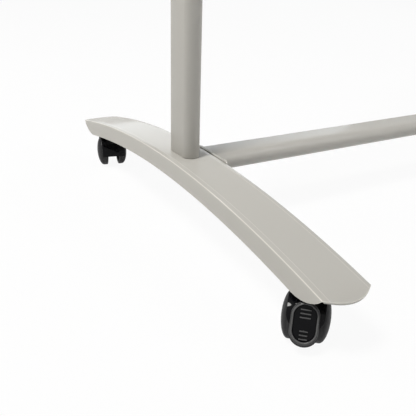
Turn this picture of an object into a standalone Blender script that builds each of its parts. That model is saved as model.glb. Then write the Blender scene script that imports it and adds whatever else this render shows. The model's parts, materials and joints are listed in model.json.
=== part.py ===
"""Mobile whiteboard: a double-sided board that turns between two posts on castered feet.

Metres, +Z up. The origin is on the floor under the middle of the stand. The posts
stand at -X and +X, and the writing faces look along -Y (front) and +Y (back).
"""
from math import cos, pi, radians, sin, sqrt

import bmesh
import bpy
from mathutils import Matrix, Vector

# Clearances
SEAT_GAP = 0.0003
OVERRUN = 0.004
WELD = 0.0004
MERGE = 0.00002

# Board
BOARD_WIDTH = 1.200
BOARD_HEIGHT = 0.900
CORE_THICKNESS = 0.016
FACE_SHEET = 0.0005
RAIL_WIDTH = 0.024
RAIL_THICKNESS = 0.024
RAIL_WALL = 0.0016
RAIL_ROUND = 0.005
RAIL_SLOT = 0.009
CORNER_SIZE = 0.044
CORNER_ROUND = 0.022
CORNER_PROUD = 0.001
CORNER_TONGUE = 0.018

# Tube of the posts and of the cross beam
TUBE_WIDTH = 0.053
TUBE_THICKNESS = 0.0235
TUBE_WALL = 0.0015
SIDE_GAP = 0.01825
PIVOT_HEIGHT = 1.350
POST_HEAD = 0.045
POST_PLUG = 0.006
POST_CAP = 0.003
POST_CAP_PLUG = 0.012
POST_BOLT_RADIUS = 0.005
POST_BOLT_HEAD = 0.0064
POST_BOLT_ACROSS = 0.0092

# Beam between the feet
BEAM_DROP = 0.0018
END_PLATE = 0.003
END_PLATE_WIDTH = 0.113
END_PLATE_MARGIN = 0.0032
END_PLATE_ROUND = 0.005
END_PLATE_PROUD = 0.0004
BEAM_VENT_RADIUS = 0.004
BEAM_BOLT_SPREAD = 0.043
BEAM_BOLT_RADIUS = 0.003
BEAM_BOLT_HEAD = 0.004
BEAM_BOLT_ACROSS = 0.0058

# Pressed feet
FOOT_WIDTH = 0.060
FOOT_REACH = 0.317
FOOT_TIP = 0.0135
FOOT_FALL = 0.034
FOOT_DEPTH = 0.024
FOOT_CORNER = 0.0055
FOOT_NOSE = 0.035
FOOT_SHEET = 0.0015
FOOT_CLEARANCE = 0.0036
STIFFENER_SHEET = 0.002
STIFFENER_REACH = 0.060
STIFFENER_DEPTH = 0.0165

# Twin-wheel casters
CASTER_INSET = 0.050
CASTER_TRAIL = 0.013
WHEEL_RADIUS = 0.025
WHEEL_TREAD = 0.0095
WHEEL_DOME = 0.0047
WHEEL_PLAY = 0.0006
WHEEL_BORE_DEPTH = 0.0115
WHEEL_RIM_WALL = 0.0045
WHEEL_HUB_WALL = 0.005
WHEEL_RECESS = 0.003
AXLE_RADIUS = 0.003
WEB_THICKNESS = 0.0174
WEB_ROUND = 0.0068
FENDER_CLEARANCE = 0.0010
FENDER_WALL = 0.0016
FENDER_TRAILING_END = radians(8)
FENDER_LEADING_END = radians(185)
FENDER_CORNER_START = radians(32)
FENDER_CORNER_INSET = 0.0065
HOOD_RIDGE = 0.0012
HOOD_RIDGE_WIDTH = 0.0225
HOOD_RIDGE_ENDS = (radians(37), radians(128))
STEM_RADIUS = 0.004
STEM_DEPTH = 0.030
STUD_RADIUS = 0.005
STUD_SPARE = 0.0025
COLLAR_RADIUS = 0.0085
COLLAR_THICKNESS = 0.002
SOCKET_DROP = 0.0198
SOCKET_SHEET = 0.003
SOCKET_REACH = 0.020
SOCKET_FLANGE = 0.006
NUT_ACROSS = 0.0085
NUT_HEIGHT = 0.0065

# Rocker pedal of the braked casters
PEDAL_ANGLE = radians(20)
PEDAL_PIVOT = 0.0190
PEDAL_STANDOFF = 0.0092
PEDAL_WIDTH = 0.027
PEDAL_LENGTH = 0.041
PEDAL_PLATE = 0.0024
PEDAL_RIM = 0.0014
PEDAL_RIM_WALL = 0.0024
PEDAL_LUG = 0.0064
PEDAL_LUG_HEIGHT = 0.007
PEDAL_PIN = 0.0016
RIDGE_LENGTH = 0.0105
RIDGE_WIDTH = 0.0011
RIDGE_HEIGHT = 0.0009
RIDGE_PITCH = 0.0040
RIDGE_SPREAD = 0.0110
PEDAL_SWEEP = 0.0028
PEDAL_PLAY = 0.0004

# Pivots of the board
PIVOT_PLATE = 0.004
PIVOT_PLATE_HEIGHT = 0.080
PIVOT_PLATE_WIDTH = 0.022
PIVOT_RADIUS = 0.006
SHOULDER_RADIUS = 0.010
BUSH_WALL = 0.0024
BUSH_FLANGE = 0.0026
BUSH_FLANGE_RADIUS = 0.0135
KNOB_RADIUS = 0.024
KNOB_LOBE = 0.003
KNOB_GRIP = 0.014
KNOB_HUB_RADIUS = 0.0115
KNOB_HUB = 0.010
KNOB_BORE = 0.018

# Pen tray
TRAY_DEPTH = 0.080
TRAY_LIP = 0.018
TRAY_HEM = 0.006
TRAY_SHEET = 0.0012
TRAY_CLEARANCE = 0.015
TRAY_END_PLATE = 0.002
TRAY_END_DROP = 0.022
TRAY_END_ROUND = 0.004

# Facets
WHEEL_STEPS = 18
PIN_STEPS = 14
TUBE_STEPS = 7
FENDER_STEPS = 14
CORNER_STEPS = 6
FOOT_STATIONS = 14
STIFFENER_STATIONS = 4
FOOT_CORNER_STEPS = 3
FOOT_WALL_SHARES = (1.0, 0.72, 0.40)
FOOT_TOP_STEPS = 6
DOME_ANGLES = (0, radians(35), radians(65), radians(90))
KNOB_LOBES = 5
KNOB_STEPS = 30
RIDGES = 3

# Places that follow from the sizes above
FENDER_INNER = WHEEL_RADIUS + FENDER_CLEARANCE
FENDER_OUTER = FENDER_INNER + FENDER_WALL
FOOT_RADIUS = (FOOT_REACH ** 2 + FOOT_FALL ** 2) / (2 * FOOT_FALL)
POST_X = BOARD_WIDTH / 2 + SIDE_GAP + TUBE_THICKNESS / 2
CASTER_Y = FOOT_REACH - CASTER_INSET
WHEEL_FACE = WEB_THICKNESS / 2 + WHEEL_PLAY
FENDER_HALF_WIDTH = WHEEL_FACE + WHEEL_TREAD
PANEL_HALF = CORE_THICKNESS / 2 + SEAT_GAP + FACE_SHEET
SLOT_HALF = PANEL_HALF + SEAT_GAP

# Swivel angles at rest, measured from +X, of each caster's trailing side
CASTERS = (
    ("front_left", -1, -1, radians(226)),
    ("front_right", 1, -1, radians(314)),
    ("back_left", -1, 1, radians(77)),
    ("back_right", 1, 1, radians(103)),
)
SIDES = (("left", -1), ("right", 1))


def foot_fall(y):
    """How far the bowed foot has dropped at a distance y from its middle."""
    return FOOT_RADIUS - sqrt(FOOT_RADIUS ** 2 - y ** 2)


NOSE_Y = FOOT_REACH - FOOT_NOSE
FOOT_HEIGHT = WHEEL_RADIUS + FENDER_OUTER + FOOT_CLEARANCE + FOOT_DEPTH + foot_fall(NOSE_Y)
SOCKET_Z = FOOT_HEIGHT - foot_fall(CASTER_Y) - SOCKET_DROP
COLLAR_Z = SOCKET_Z - SEAT_GAP - COLLAR_THICKNESS
BOSS_TOP = COLLAR_Z - SEAT_GAP
POST_BOTTOM = FOOT_HEIGHT + SEAT_GAP
POST_TOP = PIVOT_HEIGHT + POST_HEAD
BEAM_Z = FOOT_HEIGHT - BEAM_DROP - TUBE_THICKNESS / 2
CORNER_HALF = RAIL_THICKNESS / 2 + CORNER_PROUD
BOARD_SWEEP = sqrt((BOARD_HEIGHT / 2) ** 2 + CORNER_HALF ** 2)
TRAY_TOP = PIVOT_HEIGHT - BOARD_SWEEP - TRAY_CLEARANCE
TRAY_BOTTOM = TRAY_TOP - TRAY_LIP

# Finishes: name, colour, roughness, metallic
FINISHES = {
    "stand_paint": ((0.52, 0.50, 0.46, 1), 0.25, 0.0),
    "caster_plastic": ((0.012, 0.012, 0.014, 1), 0.22, 0.0),
    "steel": ((0.60, 0.60, 0.62, 1), 0.30, 1.0),
    "writing_face": ((0.90, 0.91, 0.91, 1), 0.12, 0.0),
    "board_core": ((0.55, 0.42, 0.28, 1), 0.80, 0.0),
    "rail_aluminium": ((0.72, 0.73, 0.74, 1), 0.30, 1.0),
    "grey_plastic": ((0.33, 0.34, 0.35, 1), 0.45, 0.0),
    "black_plastic": ((0.03, 0.03, 0.035, 1), 0.45, 0.0),
    "nylon": ((0.80, 0.79, 0.74, 1), 0.50, 0.0),
}


def clear_scene():
    for obj in list(bpy.data.objects):
        bpy.data.objects.remove(obj)


def new_collection(name):
    collection = bpy.data.collections.new(name)
    bpy.context.scene.collection.children.link(collection)
    return collection


clear_scene()
PARTS = new_collection("mobile_whiteboard")
TOOLS = new_collection("cutters")
MATERIALS = {}


def finish_material(name):
    """The Principled material of a finish, made once."""
    if name not in MATERIALS:
        colour, roughness, metallic = FINISHES[name]
        material = bpy.data.materials.new(name)
        material.use_nodes = True
        shader = material.node_tree.nodes["Principled BSDF"]
        shader.inputs["Base Color"].default_value = colour
        shader.inputs["Roughness"].default_value = roughness
        shader.inputs["Metallic"].default_value = metallic
        material.diffuse_color = colour
        MATERIALS[name] = material
    return MATERIALS[name]


# Outlines: lists of (x, y) points
def arc(centre, radius, start, end, steps):
    """Points round part of a circle, from the start angle to the end angle."""
    angles = [start + (end - start) * i / steps for i in range(steps + 1)]
    return [(centre[0] + radius * cos(a), centre[1] + radius * sin(a)) for a in angles]


def flat_oval(width, height, steps=TUBE_STEPS):
    """A flat oval, wider along x, with round ends."""
    radius = height / 2
    reach = width / 2 - radius
    right = arc((reach, 0), radius, -pi / 2, pi / 2, steps)
    left = arc((-reach, 0), radius, pi / 2, 3 * pi / 2, steps)
    return right + left


def rounded_box(width, height, radius, steps=3):
    """A rectangle with round corners, about its middle."""
    x, y = width / 2 - radius, height / 2 - radius
    corners = (((x, y), 0), ((-x, y), pi / 2), ((-x, -y), pi), ((x, -y), 3 * pi / 2))
    return [p for c, a in corners for p in arc(c, radius, a, a + pi / 2, steps)]


# The axes that an outline's x, y and thickness follow
PLANES = {
    "XY": Matrix(((1, 0, 0), (0, 1, 0), (0, 0, 1))),
    "YZ": Matrix(((0, 0, 1), (1, 0, 0), (0, 1, 0))),
    "XZ": Matrix(((1, 0, 0), (0, 0, -1), (0, 1, 0))),
}


def to_mesh(obj):
    """The object's evaluated shape as a welded mesh with its faces pointing out."""
    bpy.context.view_layer.update()
    evaluated = obj.evaluated_get(bpy.context.evaluated_depsgraph_get())
    mesh = bpy.data.meshes.new_from_object(evaluated)
    form = bmesh.new()
    form.from_mesh(mesh)
    bmesh.ops.remove_doubles(form, verts=form.verts, dist=MERGE)
    bmesh.ops.recalc_face_normals(form, faces=form.faces)
    form.to_mesh(mesh)
    form.free()
    return mesh


def new_solid(name, data):
    obj = bpy.data.objects.new(name, data)
    obj.hide_render = True
    obj.display_type = "WIRE"
    TOOLS.objects.link(obj)
    return obj


def slab(loops, thickness, plane="XY", centre=(0, 0, 0)):
    """A flat outline with holes, given thickness about its plane."""
    curve = bpy.data.curves.new("outline", "CURVE")
    curve.dimensions = "2D"
    curve.fill_mode = "BOTH"
    curve.extrude = thickness / 2
    for loop in loops:
        spline = curve.splines.new("POLY")
        spline.points.add(len(loop) - 1)
        for point, (x, y) in zip(spline.points, loop):
            point.co = (x, y, 0, 1)
        spline.use_cyclic_u = True
    flat = new_solid("outline", curve)
    mesh = to_mesh(flat)
    bpy.data.objects.remove(flat)
    mesh.transform(Matrix.Translation(centre) @ PLANES[plane].to_4x4())
    return new_solid("slab", mesh)


def rod(radius, length, axis="Z", centre=(0, 0, 0), steps=PIN_STEPS):
    """A cylinder along an axis, about its middle."""
    turn = {"X": Matrix.Rotation(pi / 2, 4, "Y"), "Y": Matrix.Rotation(pi / 2, 4, "X"),
            "Z": Matrix.Identity(4)}[axis]
    form = bmesh.new()
    bmesh.ops.create_cone(form, cap_ends=True, segments=steps, radius1=radius, radius2=radius,
                          depth=length, matrix=Matrix.Translation(centre) @ turn)
    mesh = bpy.data.meshes.new("rod")
    form.to_mesh(mesh)
    form.free()
    return new_solid("rod", mesh)


def block(low, high):
    """A box between two corners."""
    form = bmesh.new()
    size = Vector(high) - Vector(low)
    middle = (Vector(high) + Vector(low)) / 2
    bmesh.ops.create_cube(form, size=1, matrix=Matrix.Translation(middle) @ Matrix.Diagonal(size).to_4x4())
    mesh = bpy.data.meshes.new("block")
    form.to_mesh(mesh)
    form.free()
    return new_solid("block", mesh)


def turned(profile, steps, closed=False):
    """A piece turned round Z from (radius, height) points that run down its outer side."""
    edges = [(i, i + 1) for i in range(len(profile) - 1)]
    if closed:
        edges.append((len(profile) - 1, 0))
    mesh = bpy.data.meshes.new("profile")
    mesh.from_pydata([(radius, 0, height) for radius, height in profile], edges, [])
    obj = new_solid("turned", mesh)
    screw = obj.modifiers.new("turn", "SCREW")
    screw.steps = steps
    screw.render_steps = steps
    screw.use_merge_vertices = True
    screw.merge_threshold = MERGE
    return obj


def combine(target, operation, *others):
    """Join the target with other solids or cut it by them, using them up."""
    for other in others:
        modifier = target.modifiers.new(operation, "BOOLEAN")
        modifier.operation = operation
        modifier.object = other
    target.data = to_mesh(target)
    target.modifiers.clear()
    for other in others:
        bpy.data.objects.remove(other)
    return target


def join(target, *others):
    return combine(target, "UNION", *others)


def cut(target, *others):
    return combine(target, "DIFFERENCE", *others)


def part(name, solid, finish, matrix=None, parent=None):
    """Name a finished solid, give it its finish and put it in its place."""
    solid.name = name
    solid.data.name = name
    solid.data.materials.clear()
    solid.data.materials.append(finish_material(finish))
    solid.data.shade_smooth()
    solid.data.set_sharp_from_angle(angle=radians(30))
    TOOLS.objects.unlink(solid)
    PARTS.objects.link(solid)
    solid.hide_render = False
    solid.display_type = "TEXTURED"
    if matrix is not None:
        solid.matrix_world = matrix
    if parent is not None:
        bpy.context.view_layer.update()
        place = solid.matrix_world.copy()
        solid.parent = parent
        solid.matrix_parent_inverse = parent.matrix_world.inverted()
        solid.matrix_world = place
    return solid


def joint_empty(name, matrix, parent=None):
    """An empty on a joint's axis, which carries the pieces that move about it."""
    empty = bpy.data.objects.new(name, None)
    PARTS.objects.link(empty)
    empty.matrix_world = matrix
    bpy.context.view_layer.update()
    if parent is not None:
        empty.parent = parent
        empty.matrix_parent_inverse = parent.matrix_world.inverted()
        bpy.context.view_layer.update()
    return empty


# Stand
def channel_section(width, depth, corner, offset):
    """Half of an inverted channel as (x, drop) points, from the lip of its wall to the middle."""
    x, top = width / 2, offset
    wall = [(-x, top + corner + (depth - corner) * share) for share in FOOT_WALL_SHARES]
    steps = FOOT_CORNER_STEPS
    bend = [(-x + corner * (1 - cos(pi / 2 * i / steps)), top + corner * (1 - sin(pi / 2 * i / steps)))
            for i in range(steps + 1)]
    flat = x - corner
    middle = [(-flat + flat * 2 * i / FOOT_TOP_STEPS, top) for i in range(1, FOOT_TOP_STEPS // 2 + 1)]
    return wall + bend + middle


def tip_reach(x):
    """How far the rounded tip of the foot's top runs past its corners."""
    chord = FOOT_WIDTH / 2
    radius = (chord ** 2 + FOOT_TIP ** 2) / (2 * FOOT_TIP)
    return sqrt(radius ** 2 - x ** 2) - (radius - FOOT_TIP)


def nose_cut(drop):
    """How far the end of the foot's wall is swept back at a distance below the top."""
    return FOOT_NOSE * (1 - sqrt(max(0, 1 - drop / FOOT_DEPTH)))


def pressed_channel(width, depth, corner, offset, sheet, stations, end_of):
    """A channel of pressed sheet, bowed along Y, open below and at its ends."""
    half = channel_section(width, depth, corner, offset)
    section = half + [(-x, drop) for x, drop in reversed(half[:-1])]
    columns = len(section) - 1
    form = bmesh.new()
    bmesh.ops.create_grid(form, x_segments=columns, y_segments=stations, size=1)
    for vert in form.verts:
        column = round((vert.co.x + 1) / 2 * columns)
        x, drop = section[column]
        y = vert.co.y * end_of(x, drop)
        vert.co = (x, y, FOOT_HEIGHT - foot_fall(y) - drop)
    mesh = bpy.data.meshes.new("channel")
    form.to_mesh(mesh)
    form.free()
    obj = new_solid("channel", mesh)
    thick = obj.modifiers.new("sheet", "SOLIDIFY")
    thick.thickness = sheet
    thick.offset = -1
    thick.use_even_offset = True
    obj.data = to_mesh(obj)
    obj.modifiers.clear()
    return obj


def post_bolt_hole():
    """Cutter for the bolt that holds a post on its foot."""
    span = FOOT_DEPTH + POST_PLUG + 2 * OVERRUN
    z = FOOT_HEIGHT - FOOT_DEPTH / 2 + POST_PLUG / 2
    return rod(POST_BOLT_RADIUS + SEAT_GAP, span, "Z", (0, 0, z))


def beam_bolt_holes(x):
    """Cutters for the two bolts of an end plate, through the sheets near x."""
    span = 2 * (END_PLATE + FOOT_SHEET + STIFFENER_SHEET + OVERRUN)
    return [rod(BEAM_BOLT_RADIUS + SEAT_GAP, span, "X", (x, y, BEAM_Z))
            for y in (-BEAM_BOLT_SPREAD, BEAM_BOLT_SPREAD)]


def bolt(radius, head_radius, head, length, nut=0):
    """A hexagon bolt along Z: its head is below z = 0, its shank above, with a nut near the end."""
    body = rod(radius, length + WELD, "Z", (0, 0, (length - WELD) / 2), PIN_STEPS // 2)
    join(body, rod(head_radius, head, "Z", (0, 0, -head / 2), 6))
    if nut:
        join(body, rod(head_radius, nut, "Z", (0, 0, length - STUD_SPARE - nut / 2), 6))
    return body


def make_foot(side_name, side):
    place = Matrix.Translation((side * POST_X, 0, 0))
    foot = pressed_channel(FOOT_WIDTH, FOOT_DEPTH, FOOT_CORNER, 0, FOOT_SHEET, FOOT_STATIONS,
                           lambda x, drop: FOOT_REACH + tip_reach(x) - nose_cut(drop))
    inner_wall = -side * FOOT_WIDTH / 2
    cut(foot, post_bolt_hole(), *beam_bolt_holes(inner_wall))
    part(f"foot_{side_name}", foot, "stand_paint", place)

    inset = FOOT_SHEET + SEAT_GAP
    stiffener = pressed_channel(FOOT_WIDTH - 2 * inset, STIFFENER_DEPTH, FOOT_CORNER - inset, inset,
                                STIFFENER_SHEET, STIFFENER_STATIONS, lambda x, drop: STIFFENER_REACH)
    cut(stiffener, post_bolt_hole(), *beam_bolt_holes(inner_wall))
    part(f"foot_stiffener_{side_name}", stiffener, "steel", place)

    under = FOOT_HEIGHT - FOOT_SHEET - STIFFENER_SHEET - 2 * SEAT_GAP
    under -= foot_fall(POST_BOLT_ACROSS)
    length = POST_BOTTOM + POST_PLUG - under
    screw = bolt(POST_BOLT_RADIUS, POST_BOLT_ACROSS, POST_BOLT_HEAD, length)
    part(f"post_bolt_{side_name}", screw, "steel", place @ Matrix.Translation((0, 0, under)))


def make_post(side_name, side):
    place = Matrix.Translation((side * POST_X, 0, 0))
    turn = Matrix.Rotation(pi / 2, 4, "Z")
    outer = flat_oval(TUBE_WIDTH, TUBE_THICKNESS)
    inner = flat_oval(TUBE_WIDTH - 2 * TUBE_WALL, TUBE_THICKNESS - 2 * TUBE_WALL)
    post = slab([outer, inner], POST_TOP - POST_BOTTOM, "XY", (0, 0, (POST_TOP + POST_BOTTOM) / 2))
    plug_size = 2 * (TUBE_WALL - WELD)
    plug = slab([flat_oval(TUBE_WIDTH - plug_size, TUBE_THICKNESS - plug_size)], POST_PLUG, "XY",
                (0, 0, POST_BOTTOM + POST_PLUG / 2))
    join(post, plug)
    post.data.transform(turn)
    bush_hole = PIVOT_RADIUS + 2 * SEAT_GAP + BUSH_WALL
    cut(post, post_bolt_hole(), rod(bush_hole, TUBE_THICKNESS + 2 * OVERRUN, "X", (0, 0, PIVOT_HEIGHT)))
    part(f"post_{side_name}", post, "stand_paint", place)

    shrink = 2 * (TUBE_WALL + SEAT_GAP)
    top = POST_TOP + SEAT_GAP
    cap = slab([outer], POST_CAP, "XY", (0, 0, top + POST_CAP / 2))
    cap_plug = slab([flat_oval(TUBE_WIDTH - shrink, TUBE_THICKNESS - shrink)], POST_CAP_PLUG + WELD, "XY",
                    (0, 0, top - (POST_CAP_PLUG - WELD) / 2))
    join(cap, cap_plug)
    cap.data.transform(turn)
    part(f"post_cap_{side_name}", cap, "black_plastic", place)


def make_beam():
    """The flat-oval beam with an end plate welded across each end."""
    face = POST_X - FOOT_WIDTH / 2 - SEAT_GAP
    tube_end = face - END_PLATE + WELD
    outer = flat_oval(TUBE_WIDTH, TUBE_THICKNESS)
    inner = flat_oval(TUBE_WIDTH - 2 * TUBE_WALL, TUBE_THICKNESS - 2 * TUBE_WALL)
    beam = slab([outer, inner], 2 * tube_end, "YZ", (0, 0, BEAM_Z))
    plate_top = FOOT_HEIGHT + END_PLATE_PROUD
    plate_bottom = BEAM_Z - TUBE_THICKNESS / 2 - END_PLATE_MARGIN
    plates = []
    for side in (-1, 1):
        centre = (side * (face - END_PLATE / 2), 0, (plate_top + plate_bottom) / 2)
        plate = slab([rounded_box(END_PLATE_WIDTH, plate_top - plate_bottom, END_PLATE_ROUND)],
                     END_PLATE, "YZ", centre)
        vent = rod(BEAM_VENT_RADIUS, END_PLATE + 2 * OVERRUN, "X", (centre[0], 0, BEAM_Z))
        plates.append(cut(plate, vent, *beam_bolt_holes(centre[0])))
    part("cross_beam", join(beam, *plates), "stand_paint")

    grip = END_PLATE + FOOT_SHEET + STIFFENER_SHEET + 4 * SEAT_GAP
    length = grip + BEAM_BOLT_HEAD + STUD_SPARE
    for side_name, side in SIDES:
        start = side * (face - END_PLATE - SEAT_GAP)
        for end_name, end in (("front", -1), ("back", 1)):
            screw = bolt(BEAM_BOLT_RADIUS, BEAM_BOLT_ACROSS, BEAM_BOLT_HEAD, length, BEAM_BOLT_HEAD)
            place = Matrix.Translation((start, end * BEAM_BOLT_SPREAD, BEAM_Z))
            part(f"beam_bolt_{side_name}_{end_name}", screw, "steel",
                 place @ Matrix.Rotation(side * pi / 2, 4, "Y"))


# Casters
def make_socket(name, place):
    """The bracket inside the foot: a cross plate with turned-up flanges and a weld nut."""
    half = FOOT_WIDTH / 2 - FOOT_SHEET - SEAT_GAP
    sheet, rise = SOCKET_SHEET, SOCKET_SHEET + SOCKET_FLANGE
    outline = [(-half, 0), (half, 0), (half, rise), (half - sheet, rise), (half - sheet, sheet),
               (-half + sheet, sheet), (-half + sheet, rise), (-half, rise)]
    socket = slab([outline], 2 * SOCKET_REACH, "XZ", (0, 0, SOCKET_Z))
    nut = rod(NUT_ACROSS, NUT_HEIGHT + WELD, "Z", (0, 0, SOCKET_Z + sheet + (NUT_HEIGHT - WELD) / 2), 6)
    join(socket, nut)
    hole = STUD_RADIUS + SEAT_GAP
    span = sheet + NUT_HEIGHT + 2 * OVERRUN
    cut(socket, rod(hole, span, "Z", (0, 0, SOCKET_Z + span / 2 - OVERRUN)))
    part(name, socket, "steel", place)


def make_stem(name, place):
    """The caster's stem: a plain swivel pin below its collar and a stud above."""
    top = SOCKET_Z + SOCKET_SHEET + NUT_HEIGHT + STUD_SPARE
    profile = [(0, top), (STUD_RADIUS, top), (STUD_RADIUS, COLLAR_Z + COLLAR_THICKNESS),
               (COLLAR_RADIUS, COLLAR_Z + COLLAR_THICKNESS), (COLLAR_RADIUS, COLLAR_Z),
               (STEM_RADIUS, COLLAR_Z), (STEM_RADIUS, BOSS_TOP - STEM_DEPTH), (0, BOSS_TOP - STEM_DEPTH)]
    part(name, turned(profile, PIN_STEPS), "steel", place)


def bore(radius, steps=PIN_STEPS):
    """The corner radius of a faceted bore whose flats clear a pin of this radius."""
    return (radius + SEAT_GAP) / cos(pi / steps)


def pedal_point(radial, tangential=0):
    """A point of the pedal's frame, as (x, z) in the caster's frame."""
    a = PEDAL_ANGLE
    return (CASTER_TRAIL + radial * cos(a) - tangential * sin(a),
            WHEEL_RADIUS + radial * sin(a) + tangential * cos(a))


def fender_corner(side):
    """Cutter that slopes one corner off the trailing end of the fender."""
    x = CASTER_TRAIL + FENDER_INNER * cos(FENDER_CORNER_START) - OVERRUN
    high = WHEEL_RADIUS + FENDER_OUTER * sin(FENDER_CORNER_START)
    low = WHEEL_RADIUS + FENDER_INNER * sin(FENDER_TRAILING_END) - OVERRUN
    outer, inner = FENDER_HALF_WIDTH + OVERRUN, FENDER_HALF_WIDTH - FENDER_CORNER_INSET
    outline = [(side * outer, high), (side * outer, low), (side * inner, low)]
    depth = FENDER_OUTER * (1 - cos(FENDER_CORNER_START)) + 3 * OVERRUN
    return slab([outline], depth, "YZ", (x + depth / 2, 0, 0))


def make_hood(name, place, braked, parent):
    """The swivelling hood: a web between the wheels, a fender over them and a boss for the stem."""
    axle = (CASTER_TRAIL, WHEEL_RADIUS)
    steps = FENDER_STEPS
    outside = arc(axle, FENDER_OUTER, FENDER_TRAILING_END, FENDER_LEADING_END, steps)
    inside = arc(axle, FENDER_INNER, FENDER_LEADING_END, FENDER_TRAILING_END, steps)
    floor = outside[-1][1]
    below = arc(axle, WEB_ROUND, pi + pi / 6, 2 * pi - pi / 6, TUBE_STEPS // 2)
    hood = slab([outside + [(-WEB_THICKNESS / 2, floor)] + below], WEB_THICKNESS, "XZ")
    fender = slab([outside + inside], 2 * FENDER_HALF_WIDTH, "XZ")
    start, end = HOOD_RIDGE_ENDS
    ridge = slab([arc(axle, FENDER_OUTER + HOOD_RIDGE, start, end, steps // 2)
                  + arc(axle, FENDER_INNER + WELD, end, start, steps // 2)], HOOD_RIDGE_WIDTH, "XZ")
    boss_floor = floor + WELD
    boss = rod(WEB_THICKNESS / 2 - WELD / 2, BOSS_TOP - boss_floor, "Z", (0, 0, (BOSS_TOP + boss_floor) / 2),
               WHEEL_STEPS)
    join(hood, fender, ridge, boss)
    cut(hood, fender_corner(-1), fender_corner(1))
    stem_bore = rod(bore(STEM_RADIUS), STEM_DEPTH + SEAT_GAP + OVERRUN, "Z",
                    (0, 0, BOSS_TOP - (STEM_DEPTH + SEAT_GAP - OVERRUN) / 2))
    axle_bore = rod(bore(AXLE_RADIUS), WEB_THICKNESS + 2 * OVERRUN, "Y", (axle[0], 0, axle[1]))
    cut(hood, stem_bore, axle_bore)
    if braked:
        half = PEDAL_LUG / 2 + PEDAL_PLAY
        back = -PEDAL_LUG_HEIGHT / 2 - PEDAL_PLAY
        slot = block((back, -half, -PEDAL_LUG_HEIGHT / 2 - PEDAL_SWEEP),
                     (PEDAL_STANDOFF + OVERRUN, half, PEDAL_LUG_HEIGHT / 2 + PEDAL_SWEEP))
        x, z = pedal_point(PEDAL_PIVOT)
        slot.data.transform(Matrix.Translation((x, 0, z)) @ Matrix.Rotation(-PEDAL_ANGLE, 4, "Y"))
        cut(hood, slot, rod(bore(PEDAL_PIN), WEB_THICKNESS + 2 * OVERRUN, "Y", (x, 0, z)))
    part(name, hood, "caster_plastic", place, parent)


def make_pedal(name, place, parent):
    """The rocker pedal: a rimmed oval with ridges at both ends, a lug behind it and its pin."""
    back, face = PEDAL_STANDOFF, PEDAL_STANDOFF + PEDAL_PLATE
    outline = [(y, x) for x, y in flat_oval(PEDAL_LENGTH, PEDAL_WIDTH)]
    shrink = 2 * PEDAL_RIM_WALL
    well_outline = [(y, x) for x, y in flat_oval(PEDAL_LENGTH - shrink, PEDAL_WIDTH - shrink)]
    pedal = slab([outline], PEDAL_PLATE + PEDAL_RIM, "YZ", (back + (PEDAL_PLATE + PEDAL_RIM) / 2, 0, 0))
    cut(pedal, slab([well_outline], PEDAL_RIM + OVERRUN, "YZ", (face + (PEDAL_RIM + OVERRUN) / 2, 0, 0)))
    ridges = []
    for end in (-1, 1):
        for i in range(RIDGES):
            z = end * RIDGE_SPREAD + (i - (RIDGES - 1) / 2) * RIDGE_PITCH
            ridges.append(block((face - WELD, -RIDGE_LENGTH / 2, z - RIDGE_WIDTH / 2),
                                (face + RIDGE_HEIGHT, RIDGE_LENGTH / 2, z + RIDGE_WIDTH / 2)))
    lug_end = PEDAL_LUG_HEIGHT / 2
    lug = slab([arc((0, 0), lug_end, pi / 2, 3 * pi / 2, TUBE_STEPS)
                + [(back + WELD, -lug_end), (back + WELD, lug_end)]], PEDAL_LUG, "XZ")
    pin = rod(PEDAL_PIN, WEB_THICKNESS, "Y")
    join(pedal, lug, pin, *ridges)
    part(name, pedal, "caster_plastic", place, parent)


def wheel_profile():
    """Half section of a wheel: domed outer face, tread, recessed inner face and a blind bore."""
    tread = WHEEL_RADIUS / cos(pi / WHEEL_STEPS)
    dome = [(tread * sin(a), WHEEL_TREAD + WHEEL_DOME * cos(a)) for a in DOME_ANGLES]
    hole = bore(AXLE_RADIUS, WHEEL_STEPS)
    rim, hub = tread - WHEEL_RIM_WALL, AXLE_RADIUS + WHEEL_HUB_WALL
    return dome + [(tread, 0), (rim, 0), (rim, WHEEL_RECESS), (hub, WHEEL_RECESS), (hub, 0),
                   (hole, 0), (hole, WHEEL_BORE_DEPTH), (0, WHEEL_BORE_DEPTH)]


def make_caster(name, side_x, side_y, angle):
    """One caster: socket and stem in the foot, then the hood, axle, wheels and pedal that swivel."""
    at = Matrix.Translation((side_x * POST_X, side_y * CASTER_Y, 0))
    make_socket(f"caster_socket_{name}", at)
    make_stem(f"caster_stem_{name}", at)
    swivel = at @ Matrix.Rotation(angle, 4, "Z")
    empty = joint_empty(f"swivel_{name}", swivel)
    braked = side_y < 0
    make_hood(f"caster_hood_{name}", swivel, braked, empty)
    axle_place = swivel @ Matrix.Translation((CASTER_TRAIL, 0, WHEEL_RADIUS))
    half = WHEEL_FACE + WHEEL_BORE_DEPTH - SEAT_GAP
    flat_down = Matrix.Rotation(pi / WHEEL_STEPS, 4, "Z")
    part(f"caster_axle_{name}", rod(AXLE_RADIUS, 2 * half, "Y"), "steel", axle_place, empty)
    for wheel, out in (("a", 1), ("b", -1)):
        turn = Matrix(((0, -out, 0), (0, 0, out), (-1, 0, 0))).to_4x4()
        place = axle_place @ Matrix.Translation((0, out * WHEEL_FACE, 0)) @ turn @ flat_down
        part(f"caster_wheel_{name}_{wheel}", turned(wheel_profile(), WHEEL_STEPS), "caster_plastic",
             place, empty)
    if braked:
        x, z = pedal_point(PEDAL_PIVOT)
        pivot = swivel @ Matrix.Translation((x, 0, z)) @ Matrix.Rotation(-PEDAL_ANGLE, 4, "Y")
        make_pedal(f"brake_pedal_{name}", pivot, empty)


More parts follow.
